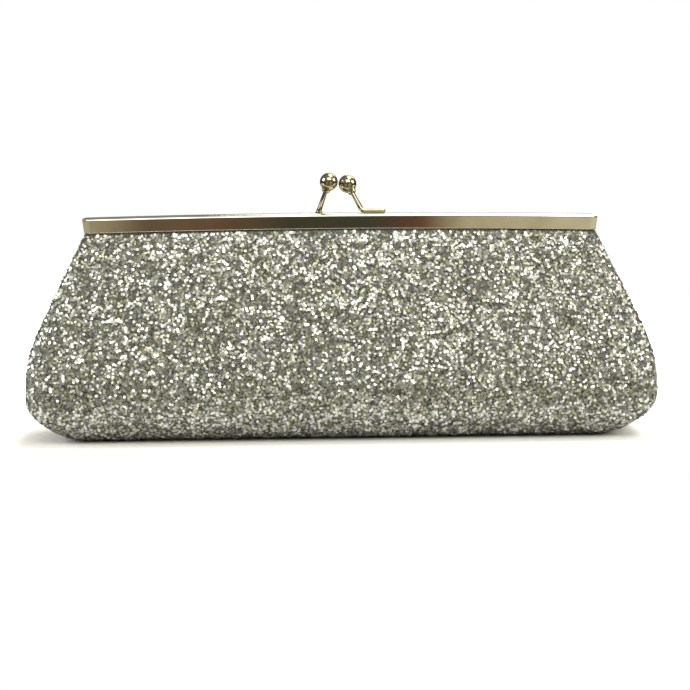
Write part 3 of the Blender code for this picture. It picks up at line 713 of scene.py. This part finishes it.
def coverSurface(side, swell):
    # the glitter cover's face, with its padding, creases and gathers
    def surface(a, b, depth):
        x, below = a * halfWidth, wallLength - b
        edge = widthAt(wallProfile(b)[1]) * (1 - abs(a))
        inside = smooth(edge / (7 * mm)) * smooth(b / (5 * mm)) * smooth(below / (4 * mm))
        low = smooth((16 * mm - b) / (12 * mm)) * inside
        high = smooth((16 * mm - below) / (12 * mm)) * smooth(below / (1.5 * mm))
        out = lookUp(swell, a, b)
        for share, (height, width, length, set_) in zip((inside, inside, low, high), wall["bumps"]):
            out += share * height * wavy(x / width, b / length, set_ * side)
        return wallPoint(side, a, b, depth - out)
    return surface


def clothFlat(a, b):
    return (a * halfWidth, b)


def buildWall(word, side):
    body = word + "_wall"
    surface = coverSurface(side, swellWall(side))
    columns = edgeSpread(wall["columns"])
    faceRows = spread(wall["rows"], 0, wallLength)
    rows = faceRows + [wallLength + t for t in wall["aboveRail"]]
    cover = gridPiece(word + "Cover", glitterCloth, surface, columns, rows,
                      clothFlat, bag["fabric"])
    face = gridMesh(word + "Face", surface, columns, faceRows[:-1], clothFlat, flip=side > 0)
    flakes = scatterFlakes(word + "Glitter", face, 10 + side)
    claim(cover, body, "glitter_fabric", word + "_panel")
    claim(flakes, body, "glitter_fabric")

    inset = 1 - bag["seamAllowance"] / halfWidth
    bottom, top = 3 * mm, wallLength - bag["foamTopMargin"]
    foamStart = bag["fabric"] + bag["gap"]

    def foamPoint(a, b, depth):
        # rounded off towards its cut edges, on the outer side only
        near = min((1 - abs(a)) * halfWidth, b - bottom, top - b)
        rounding = 0.8 * mm * (1 - smooth(near / (3 * mm))) if depth == 0 else 0
        return wallPoint(side, a * inset, b, foamStart + depth + rounding)

    foam = gridPiece(word + "Padding", fleece, foamPoint, edgeSpread(60), spread(30, bottom, top),
                     clothFlat, bag["foam"])
    claim(foam, body, "foam", word + "_foam")

    def liningPoint(a, b, depth):
        # comes up under the cover at the rail and at the side seams, inside the gusset's fold
        taper = smooth((abs(a) - inset) / (0.6 * (1 - inset)))
        taper = max(taper, smooth((b - top) / bag["liningTaper"]))
        start = liningDepth + (foamStart - liningDepth) * taper
        z = wallProfile(min(b, wallLength))[1]
        edge = widthAt(z) - wall["liningEdge"]
        while gussetInside(edge, z) < foamStart + wall["liningClear"]:
            edge -= 0.2 * mm
        start = max(foamStart, min(start, gussetInside(a * edge, z) - wall["liningClear"]))
        slack = wall["liningSlack"] * wavy(a * halfWidth / (16 * mm), b / (9 * mm), 31 * side)
        return wallPoint(side, a, b, start + slack * (1 - taper) + depth, edge=edge)

    low = 1.5 * mm
    lining = gridPiece(word + "Lining", satin, liningPoint, edgeSpread(120),
                       spread(60, -low, wallLength - bag["gap"]), clothFlat, bag["lining"])
    claim(lining, body, "lining", word + "_lining")
    return surface


surfaces = {word: buildWall(word, side) for word, side in bothWalls}
print("walls built")


def endTree(add, given, out, geometry):
    # smooth shading, real geometry and the piece's material
    real = add("GeometryNodeRealizeInstances", {"Geometry": geometry})
    shaded = add("GeometryNodeSetShadeSmooth", {"Geometry": real})
    painted = add("GeometryNodeSetMaterial", {"Geometry": shaded, "Material": given["Material"]})
    feed(out, {"Geometry": painted})


def makeTubeTree():
    # a round tube along a path, as thick as the path's own radius says
    tree, given, out, add = newTree("tubeAlongPath", {"Sides": "Int", "Material": "Material"})
    circle = add("GeometryNodeCurvePrimitiveCircle", {"Resolution": given["Sides"], "Radius": 1.0})
    tube = add("GeometryNodeCurveToMesh", {
        "Curve": given["Geometry"], "Profile Curve": circle, "Fill Caps": True})
    if "Scale" in tube.inputs:
        feed(tube, {"Scale": add("GeometryNodeInputRadius")})
    endTree(add, given, out, tube)
    return tree


def makeStitchTree():
    # short rounded stitches, evenly spaced along a path
    tree, given, out, add = newTree("stitchesAlongPath", {
        "Pitch": "Float", "Length": "Float", "Thread": "Float", "Material": "Material"})
    points = add("GeometryNodeCurveToPoints", {
        "Curve": given["Geometry"], "Length": given["Pitch"]}, mode="LENGTH").outputs
    aim = add("FunctionNodeAlignRotationToVector", {"Vector": points["Tangent"]}, axis="X")
    bead = add("GeometryNodeMeshUVSphere", {"Segments": 8, "Rings": 5, "Radius": 0.5})
    size = add("ShaderNodeCombineXYZ", {
        "X": given["Length"], "Y": given["Thread"], "Z": given["Thread"]})
    stitches = add("GeometryNodeInstanceOnPoints", {
        "Points": points["Points"], "Instance": bead, "Rotation": aim, "Scale": size})
    endTree(add, given, out, stitches)
    return tree


tubeTree = makeTubeTree()
stitchTree = makeStitchTree()


def newPath(name, *lines):
    # poly splines of (point, radius)
    curve = bpy.data.curves.new(name, "CURVE")
    curve.dimensions = "3D"
    for line in lines:
        spline = curve.splines.new("POLY")
        spline.points.add(len(line) - 1)
        for place, (point, radius) in zip(spline.points, line):
            place.co = (*point, 1)
            place.radius = radius
    return newPiece(name, curve)


def newTube(name, material, *lines, sides=24):
    piece = useTree(newPath(name, *lines), tubeTree, name, {"Sides": sides, "Material": material})
    shape = bmesh.new()
    shape.from_mesh(piece.data)
    bmesh.ops.remove_doubles(shape, verts=shape.verts, dist=0.001 * mm)
    bmesh.ops.recalc_face_normals(shape, faces=shape.faces)
    shape.to_mesh(piece.data)
    shape.free()
    piece.data.shade_smooth()
    piece.data.set_sharp_from_angle(angle=radians(60))
    return piece


pocket = dict(
    half=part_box("slip_pocket")[1].x, low=22 * mm, high=62 * mm, hem=6 * mm, slack=0.9 * mm,
    stitchInset=1.4 * mm, hemStitch=1.1 * mm, pitch=2.4 * mm, stitch=1.92 * mm, thread=0.26 * mm,
)


def pocketPoint(a, b, depth):
    # hangs slightly open along its top edge; the hem is a second layer
    rise = (b - pocket["low"]) / (pocket["high"] - pocket["low"])
    slack = pocket["slack"] * smooth(rise) * (1 - a * a)
    start = liningDepth + bag["lining"] + bag["gap"] * 0.6 + slack
    if depth:
        depth += bag["lining"] * 0.8 * smooth((b - (pocket["high"] - pocket["hem"])) / (0.5 * mm))
    return wallPoint(1, a, b, start + depth, edge=pocket["half"])


def buildPocket():
    half, hem, inset = pocket["half"], pocket["high"] - pocket["hem"], pocket["stitchInset"]
    rows = spread(40, pocket["low"], hem - 0.3 * mm) + spread(14, hem, pocket["high"])
    piece = gridPiece("slipPocket", satin, pocketPoint, spread(70, -1, 1), rows,
                      lambda a, b: (a * half, b), bag["lining"])
    surface = bag["lining"] + 0.05 * mm
    share = 1 - inset / half
    low, high = pocket["low"] + inset, pocket["high"] - 0.5 * mm
    edge = [pocketPoint(-share, b, surface) for b in spread(20, high, low)]
    edge += [pocketPoint(a, low, surface) for a in spread(40, -share, share)]
    edge += [pocketPoint(share, b, surface) for b in spread(20, low, high)]
    along = [pocketPoint(a, hem + pocket["hemStitch"], surface) for a in spread(40, -1, 1)]
    path = newPath("pocketStitches", [(p, 1) for p in edge], [(p, 1) for p in along])
    stitches = useTree(path, stitchTree, "pocketStitches", {
        "Pitch": pocket["pitch"], "Length": pocket["stitch"], "Thread": pocket["thread"],
        "Material": thread})
    claim(piece, "rear_wall", "lining", "slip_pocket")
    claim(stitches, "rear_wall", "lining")


buildPocket()
print("pocket built")


bottom = dict(
    columns=90, rows=40, bareEdge=4 * mm,  # the flakes are worn away where the bag stands
    ripple=0.1 * mm,
)


def buildBottom():
    straight, reach = halfWidth - bag["cornerRadius"], seamDepthLow

    def strip(a, b, depth):
        x, y = a * straight, b * reach
        ripple = bottom["ripple"] * wavy(x / (15 * mm), y / (9 * mm), 5)
        return Vector((x, y, bellyRise(y) + depth + abs(ripple * smooth(bellyRise(y) / (1 * mm)))))

    def flat(a, b):
        return (a * straight, b * reach)

    columns, rows = spread(bottom["columns"], -1, 1), spread(bottom["rows"], -1, 1)
    cover = gridPiece("bottomCover", glitterCloth, strip, columns, rows, flat, bag["fabric"])
    shape = bmesh.new()
    for side in (-1, 1):
        part = [b for b in rows if b * side >= (flatDepth + bottom["bareEdge"]) / reach]
        mesh = gridMesh("bottomFace", strip, columns, part, flat, flip=True)
        shape.from_mesh(mesh)
        bpy.data.meshes.remove(mesh)
    flakes = scatterFlakes("bottomGlitter", meshOf(shape, "bottomFace"), 20)

    low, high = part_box("bottom_lining")
    rise = high.z - low.z - bag["lining"]

    def lining(a, b, depth):
        share = bellyRise(b * high.y) / bellyRise(high.y)
        return Vector((a * high.x, b * high.y, low.z + rise * share + depth))

    inner = gridPiece("bottomLining", satin, lining, columns, rows, flat, bag["lining"])
    claim(cover, "base", "glitter_fabric", "bottom_panel")
    claim(inner, "base", "lining", "bottom_lining")
    claim(flakes, "base", "glitter_fabric")


buildBottom()
print("bottom built")


def openingRamp(side, low):
    # start and end of a ramp from base to wall: nought on the fold, and one from a little inside
    # the seam on.
    # In the corner piece the ramp also leans, so its lower edge stays at nought.
    reach = abs(gussetPoint(1, 2, 1, 0, gusset["liningLayer"]).y)
    slope = Vector((0, side / reach, gusset["cornerLean"] / reach if low else 0))
    step = slope / slope.length_squared
    start = step * slope.z * bag["cornerRadius"]
    return start, start + step


def lineLength(points):
    return sum((p - q).length for p, q in zip(points, points[1:]))


def buildGussetPart(word, end, part, stations, facing, side, held):
    # one quarter: the upper or corner part of the front or rear half, its cover and its lining
    low = part == "Corner"
    seam = [gussetPoint(end, t, 1, 0) for t in stations]
    length = [lineLength(seam[:k + 1]) for k in range(len(seam))]
    at = dict(zip(stations, length))
    across = [side * a for a in spread(gusset["columns"])]
    widths = [lineLength([gussetPoint(end, t, a, 0) for a in across]) for t in stations]
    area = sum((w + v) / 2 * (m - l) for w, v, l, m in zip(widths, widths[1:], length, length[1:]))
    start, stop = openingRamp(side, low)

    def flat(a, b):
        return (a * 25 * mm, at[b])

    for layer, label, finish, slot, thickness in (
        (0.0, "Gusset", glitterCloth, "glitter_fabric", bag["fabric"]),
        (gusset["liningLayer"], "GussetLining", satin, "lining", bag["lining"]),
    ):
        def surface(a, b, depth):
            return gussetPoint(end, b, a, depth, layer)

        name = word + label + part + facing
        made = [gridPiece(name, finish, surface, across, stations, flat, thickness)]
        if not layer:
            face = gridMesh(name + "Face", surface, across, stations, flat, flip=end * side < 0)
            made.append(scatterFlakes(name + "Glitter", face, 30 + end + 2 * side + 10 * low))
        for item in made:
            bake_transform(item)
            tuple(start)
            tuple(stop)
        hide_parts(word + "_gusset" + ("_lining" if layer else ""))
        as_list(made[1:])


for word, end in (("left", -1), ("right", 1)):
    for part, stations, held in (
        ("", spread(gusset["sideRows"], 1, 2), "folded"),
        ("Corner", spread(gusset["cornerRows"], 0, 1), "stretched"),
    ):
        for facing, side in (("Front", -1), ("Rear", 1)):
            buildGussetPart(word, end, part, stations, facing, side, held)
print("gussets built")


welt = dict(radius=0.45 * mm, inset=0.25 * mm, proud=0.2 * mm, rows=90)


def buildWelt(word, side):
    # a thin cord of the same cloth down both side seams
    lines = []
    for end in (-1, 1):
        shift = Vector((-end * welt["inset"], -side * welt["proud"], 0))
        rows = spread(welt["rows"], 0.0, wallLength - 0.5 * mm)
        lines.append([(surfaces[word](end, b, 0) + shift, welt["radius"]) for b in rows])
    piece = newTube(word + "Welt", glitterCloth, *lines, sides=10)
    uv = piece.data.uv_layers.new(name="clothUV")
    for loop in piece.data.loops:
        co = piece.data.vertices[loop.vertex_index].co
        uv.data[loop.index].uv = (co.x + co.y, co.z)
    claim(piece, word + "_wall", "glitter_fabric")


for word, side in bothWalls:
    buildWelt(word, side)
print("welts built")


rail = dict(
    edgeRadius=1.1 * mm, innerRadius=0.6 * mm, wall=0.7 * mm,
    lipRadius=0.14 * mm, lipProud=0.02 * mm, stations=80, softening=0.06 * mm,
)


def arcOf(centre, radius, start, stop, steps):
    x, y = centre
    return [(x + radius * cos(a), y + radius * sin(a)) for a in spread(steps, start, stop)]


def railEnd(z):
    return railHalf - bag["railEndSlant"] * (railTop - z) / (railTop - railBase)


def railPrism(name, section, side, halfLength):
    # a section carried along the rail, up its rise and down again
    shape = bmesh.new()
    rings = []
    for a in spread(rail["stations"], -1, 1):
        rise = bag["railRise"] * (1 - a * a)
        rings.append([shape.verts.new((a * halfLength(z), side * y, z + rise)) for y, z in section])
    for ring, following in zip(rings, rings[1:]):
        for k in range(len(section)):
            shape.faces.new((ring[k - 1], ring[k], following[k], following[k - 1]))
    shape.faces.new(rings[0])
    shape.faces.new(rings[-1][::-1])
    bmesh.ops.recalc_face_normals(shape, faces=shape.faces)
    return newPiece(name, meshOf(shape, name), nickelPlate)


def buildRail(word, side):
    # folded channel, open below, with a rolled lip along the lower outer edge
    edge, inner, thick = rail["edgeRadius"], rail["innerRadius"], rail["wall"]
    lip, proud = rail["lipRadius"], rail["lipProud"]
    right = pi / 2
    lipCentre = (railOuter + proud - lip, railBase + lip)
    section = [(railInner, railBase)]
    section += arcOf(lipCentre, lip, -right, acos((lip - proud) / lip), 9)
    # two points near its ends keep the face flat in shading
    section += [(railOuter, railBase + 2.5 * lip), (railOuter, railTop - edge - 0.1 * mm)]
    section += arcOf((railOuter - edge, railTop - edge), edge, 0, right, 10)
    section += arcOf((railInner + inner, railTop - inner), inner, right, pi, 5)
    hollow = [(railInner + thick, railBase - thick), (railOuter - thick, railBase - thick)]
    hollow += arcOf((railOuter - edge, railTop - edge), edge - thick, 0, right, 5)
    hollow.append((railInner + thick, railTop - thick))
    piece = railPrism(word + "RailShell", section, side, railEnd)
    cutter = railPrism("railHollow", hollow, side, lambda z: railEnd(z) - thick)
    boolean = piece.modifiers.new("hollow", "BOOLEAN")
    boolean.operation, boolean.object, boolean.solver = "DIFFERENCE", cutter, "EXACT"
    bevel = piece.modifiers.new("softened", "BEVEL")
    bevel.width, bevel.segments, bevel.limit_method = rail["softening"], 2, "ANGLE"
    bevel.angle_limit = radians(50)
    piece = plainMesh(piece, word + "Rail")
    bpy.data.objects.remove(cutter)
    piece.data.shade_smooth()
    piece.data.set_sharp_from_angle(angle=radians(30))
    claim(piece, word + "_frame", "nickel", word + "_rail")


for word, side in bothWalls:
    buildRail(word, side)
print("rails built")


clasp = dict(
    radius=3.65 * mm, clearance=0.5 * mm,  # of the balls, and between them
    pairX=-1.1 * mm, crossing=2.0 * mm, frontRise=11.9 * mm, rearRise=12.9 * mm,
    collarWall=0.45 * mm, neck=1.0 * mm, socket=1.6 * mm,  # where a post goes into its ball
    post=1.0 * mm, postNeck=0.85 * mm,  # the posts' radius, and at the ball
    footStart=8.6 * mm, footLength=9.4 * mm, bendRadius=2.2 * mm,
    # how the foot's end is rounded: mm from it, share of the radius
    footEnd=[(0, 0.35), (0.06, 0.62), (0.18, 0.8), (0.35, 0.92), (0.6, 1.0)],
    rearPostX=-9.0 * mm, collar=1.7 * mm, collarHeight=0.9 * mm, collarTaper=1.3 * mm,
    collarWaist=0.7,  # share of the collar's radius at its top
)


def bendPoints(start, corner, stop, radius, steps):
    # an arc that rounds the corner between two straight runs
    back, on = (start - corner).normalized(), (stop - corner).normalized()
    half = back.angle(on) / 2
    reach = radius / tan(half)
    centre = corner + (back + on).normalized() * radius / sin(half)
    first = corner + back * reach - centre
    axis = first.cross(corner + on * reach - centre).normalized()
    turn = pi - 2 * half
    return [centre + Matrix.Rotation(turn * k / steps, 3, axis) @ first for k in range(steps + 1)]


def buildBall(name, centre, direction):
    # ball with a short collar towards its post, turned on the lathe
    radius, collar = clasp["radius"], clasp["postNeck"] + bag["gap"] + clasp["collarWall"]
    foot = -radius - clasp["neck"]
    base = foot + 0.3 * mm
    lowest = -acos(collar / radius) + 0.16
    flare = radius * sin(lowest) - base
    profile = [(0, foot + 0.12 * mm), (collar - 0.25 * mm, foot),
               (collar - 0.05 * mm, foot + 0.12 * mm), (collar, base)]
    profile += [(collar + 0.5 * mm * smooth(t) ** 2, base + flare * t) for t in (0.5, 0.8)]
    profile += arcOf((0, 0), radius, lowest, pi / 2, 40)[:-1]
    profile.append((0, radius))
    shape = bmesh.new()
    chain = [shape.verts.new((r, 0, h)) for r, h in profile]
    edges = [shape.edges.new(pair) for pair in zip(chain, chain[1:])]
    bmesh.ops.spin(shape, geom=chain + edges, axis=(0, 0, 1), cent=(0, 0, 0), steps=56,
                   angle=2 * pi, use_merge=True)
    bmesh.ops.remove_doubles(shape, verts=shape.verts, dist=0.001 * mm)
    bmesh.ops.recalc_face_normals(shape, faces=shape.faces)
    mesh = meshOf(shape, name)
    turn = direction.to_track_quat("Z", "Y").to_matrix().to_4x4()
    mesh.transform(Matrix.Translation(centre) @ turn)
    return newPiece(name, mesh, nickelPaintedShade)


def thinned(start, tip, speed):
    # the last run of a post, thinner towards its ball
    post, neck = clasp["post"], clasp["postNeck"]
    return [(start.lerp(tip, t), post + (neck - post) * smooth(t * speed)) for t in spread(8)[1:]]


def finishPost(word, line, ball, aim):
    post = newTube(word + "ClaspPost", nickelPaintedShade, line)
    knob = buildBall(word + "ClaspBall", ball, aim)
    claim(post, word + "_frame", "nickel", word + "_clasp_post")
    claim(knob, word + "_frame", "nickel", word + "_clasp_ball")


def buildClasp():
    middle = (railOuter + railInner) / 2
    top = railTop + bag["railRise"]
    gap = clasp["radius"] + clasp["clearance"] / 2
    reach = clasp["radius"] - clasp["socket"] + bag["gap"]
    thick, collar = clasp["post"], clasp["collar"]

    # in front a foot lies along the rail and turns up to the ball
    ball = Vector((clasp["pairX"] + gap, clasp["crossing"], top + clasp["frontRise"]))
    corner = Vector((clasp["footStart"], -middle, top + thick + 0.02 * mm))
    end = corner + Vector((clasp["footLength"], 0, 0))
    aim = (ball - corner).normalized()
    foot = clasp["footEnd"] + [(x, 1.0) for x in (2, 4, 6)]
    line = [(end - Vector((x * mm, 0, 0)), thick * share) for x, share in foot]
    line += [(p, thick) for p in bendPoints(end, corner, ball, clasp["bendRadius"], 12)]
    finishPost("front", line + thinned(line[-1][0], ball - aim * reach, 1.6), ball, aim)

    # behind a collar stands on the rail and the post leans from it
    base = Vector((clasp["rearPostX"], middle, railTop + archAt(clasp["rearPostX"]) - 0.05 * mm))
    ball = Vector((clasp["pairX"] - gap, -clasp["crossing"], top + clasp["rearRise"]))
    rooted = base + Vector((0, 0, clasp["collarHeight"]))
    aim = (ball - rooted).normalized()
    waist = collar * clasp["collarWaist"]
    line = [(base, collar * 1.06), (base + Vector((0, 0, 0.15 * mm)), collar)]
    for t in (0.45, 0.7, 1.0):
        line.append((base.lerp(rooted, t), collar + (waist - collar) * smooth(t)))
    for t in (0.35, 0.7, 1.0):
        line.append((rooted + aim * clasp["collarTaper"] * t, waist + (thick - waist) * smooth(t)))
    finishPost("rear", line + thinned(line[-1][0], ball - aim * reach, 1.4), ball, aim)


buildClasp()
print("clasp built")


# carried-over nodes keep their shape and get their material
carried = {
    "front_board": greyBoard, "rear_board": greyBoard, "bottom_board": greyBoard,
    "front_paper_cord": kraftCord, "rear_paper_cord": kraftCord,
    "front_arm_left": nickelPlate, "front_arm_right": nickelPlate,
    "rear_arm_left": nickelPlate, "rear_arm_right": nickelPlate,
    "hinge_rivet_left": nickelPaintedShade, "hinge_rivet_right": nickelPaintedShade,
}
for name, material in carried.items():
    nodes[name].data.materials.clear()
    nodes[name].data.materials.append(material)
print("carried-over nodes painted")


studio = dict(
    floorFront=0.08, floorBack=0.5, floorHalf=0.5, floorColour="#F4F3F0",
    worldStrength=0.75, tableStrength=1.15, lightsAim=(0, 0, 0.05),
    lights=[
        # name, place, size, watts, colour
        ("frontSoftbox", (0.06, -0.80, 0.85), (1.0, 0.7), 7.9, "#FFFEFA"),
        ("topSoftbox", (0.25, 0.10, 1.0), (0.6, 0.5), 6.2, "#FFFFFF"),
        ("rightSoftbox", (0.95, -0.25, 0.5), (0.6, 0.5), 5, "#FFFBF2"),
        ("leftSoftbox", (-0.95, -0.15, 0.5), (0.6, 0.5), 6, "#FFFFFF"),
        ("backSoftbox", (0.3, 0.85, 0.75), (0.8, 0.5), 9, "#FFFFFF"),
    ],
    # what the rails mirror, from left to right and from floor to ceiling
    tableStops=[
        (0.0, "#B9B39A"), (0.27, "#B3AB90"), (0.345, "#6A5A48"), (0.43, "#6E5645"),
        (0.5, "#484638"), (0.60, "#454438"), (0.66, "#6A4A3A"), (0.71, "#B9B092"),
        (1.0, "#D6D2B8")],
    roomStops=[
        (0.0, "#3A3932"), (0.5, "#757465"), (0.6, "#A09E8C"), (0.75, "#BDBBAA"), (1.0, "#D0CEC0")],
)


def buildStudio():
    # Matt backdrop paper: a barely visible fibre grain
    mesh = bpy.data.meshes.new("floor")
    w, f, b = studio["floorHalf"], -studio["floorFront"], studio["floorBack"]
    mesh.from_pydata([(-w, f, 0), (w, f, 0), (w, b, 0), (-w, b, 0)], [], [(0, 1, 2, 3)])
    paper, shader, add = newMaterial("backdropPaper", studio["floorColour"], 0.9)
    coords = add("ShaderNodeTexCoord").outputs["Object"]
    grain = add("ShaderNodeTexNoise", {"Vector": coords, "Scale": 1 / (3 * mm), "Detail": 3.0})
    paint(shader, grain, [(0.3, "#F1F0ED"), (0.7, "#F7F6F4")])
    newPiece("floor", mesh, paper)

    aim = Vector(studio["lightsAim"])
    for name, place, size, watts, colour in studio["lights"]:
        light = bpy.data.lights.new(name, "AREA")
        light.shape, light.size, light.size_y = "RECTANGLE", *size
        light.energy, light.color = watts, linear(colour)[:3]
        made = newPiece(name, light)
        made.location = place
        made.rotation_euler = (aim - Vector(place)).to_track_quat("-Z", "Y").to_euler()


def buildWorld():
    # White room; towards the front, low down, a dim wooden table edge that the rails mirror
    world = bpy.data.worlds.new("room")
    bpy.context.scene.world = world
    world.use_nodes = True
    tree = world.node_tree
    add = partial(addNode, tree)
    lit = tree.nodes["Background"]
    way = add("ShaderNodeTexCoord").outputs["Generated"]
    part = add("ShaderNodeSeparateXYZ", {"Vector": way}).outputs
    front = add("ShaderNodeMath", {0: part["Y"], 1: -1.0}, operation="MULTIPLY")
    ahead = add("ShaderNodeMath", {0: front, 1: 0.05}, operation="MAXIMUM")
    sideways = add("ShaderNodeMath", {0: part["X"], 1: ahead}, operation="DIVIDE")
    across = add("ShaderNodeMapRange", {"Value": sideways, "From Min": -0.3, "From Max": 0.3})
    low = add("ShaderNodeMapRange", {"Value": part["Z"], "From Min": 0.10, "From Max": -0.02})
    facing = add("ShaderNodeMapRange", {"Value": front, "From Min": 0.55, "From Max": 0.85})
    mask = add("ShaderNodeMath", {0: low, 1: facing}, operation="MULTIPLY")
    height = add("ShaderNodeMapRange", {"Value": part["Z"], "From Min": -1.0, "From Max": 1.0})
    room = add("ShaderNodeValToRGB", {"Fac": height}, studio["roomStops"])
    feed(lit, {"Color": room, "Strength": studio["worldStrength"]})
    table = add("ShaderNodeValToRGB", {"Fac": across}, studio["tableStops"])
    dim = add("ShaderNodeBackground", {"Color": table, "Strength": studio["tableStrength"]})
    seen = add("ShaderNodeMixShader", {0: mask, 1: lit, 2: dim})
    # the camera itself sees plain white behind the bag
    plain = add("ShaderNodeBackground", {"Color": (1, 1, 1, 1), "Strength": 1.0})
    rays = add("ShaderNodeLightPath").outputs["Is Camera Ray"]
    both = add("ShaderNodeMixShader", {0: rays, 1: seen, 2: plain})
    feed(tree.nodes["World Output"], {"Surface": both})


camera = dict(
    azimuth=-2.4, elevation=8.0, roll=-0.34, distance=0.61, lens=76.5, target=(0.0013, 0, 0.037),
)


def buildCamera():
    data = bpy.data.cameras.new("camera")
    data.sensor_width, data.lens = 36, camera["lens"]
    data.clip_start = 0.01
    a, e, r = (radians(camera[key]) for key in ("azimuth", "elevation", "roll"))
    back = Vector((sin(a) * cos(e), -cos(a) * cos(e), sin(e)))
    right = (-back).cross(Vector((0, 0, 1))).normalized()
    up = right.cross(-back)
    turned = right * cos(r) + up * sin(r)
    upright = up * cos(r) - right * sin(r)
    place = Matrix((turned, upright, back)).transposed().to_4x4()
    place.translation = Vector(camera["target"]) + back * camera["distance"]
    made = newPiece("camera", data)
    made.matrix_world = place
    bpy.context.scene.camera = made


buildStudio()
buildWorld()
buildCamera()
bpy.context.scene.view_settings.view_transform = "Standard"
print("studio set")
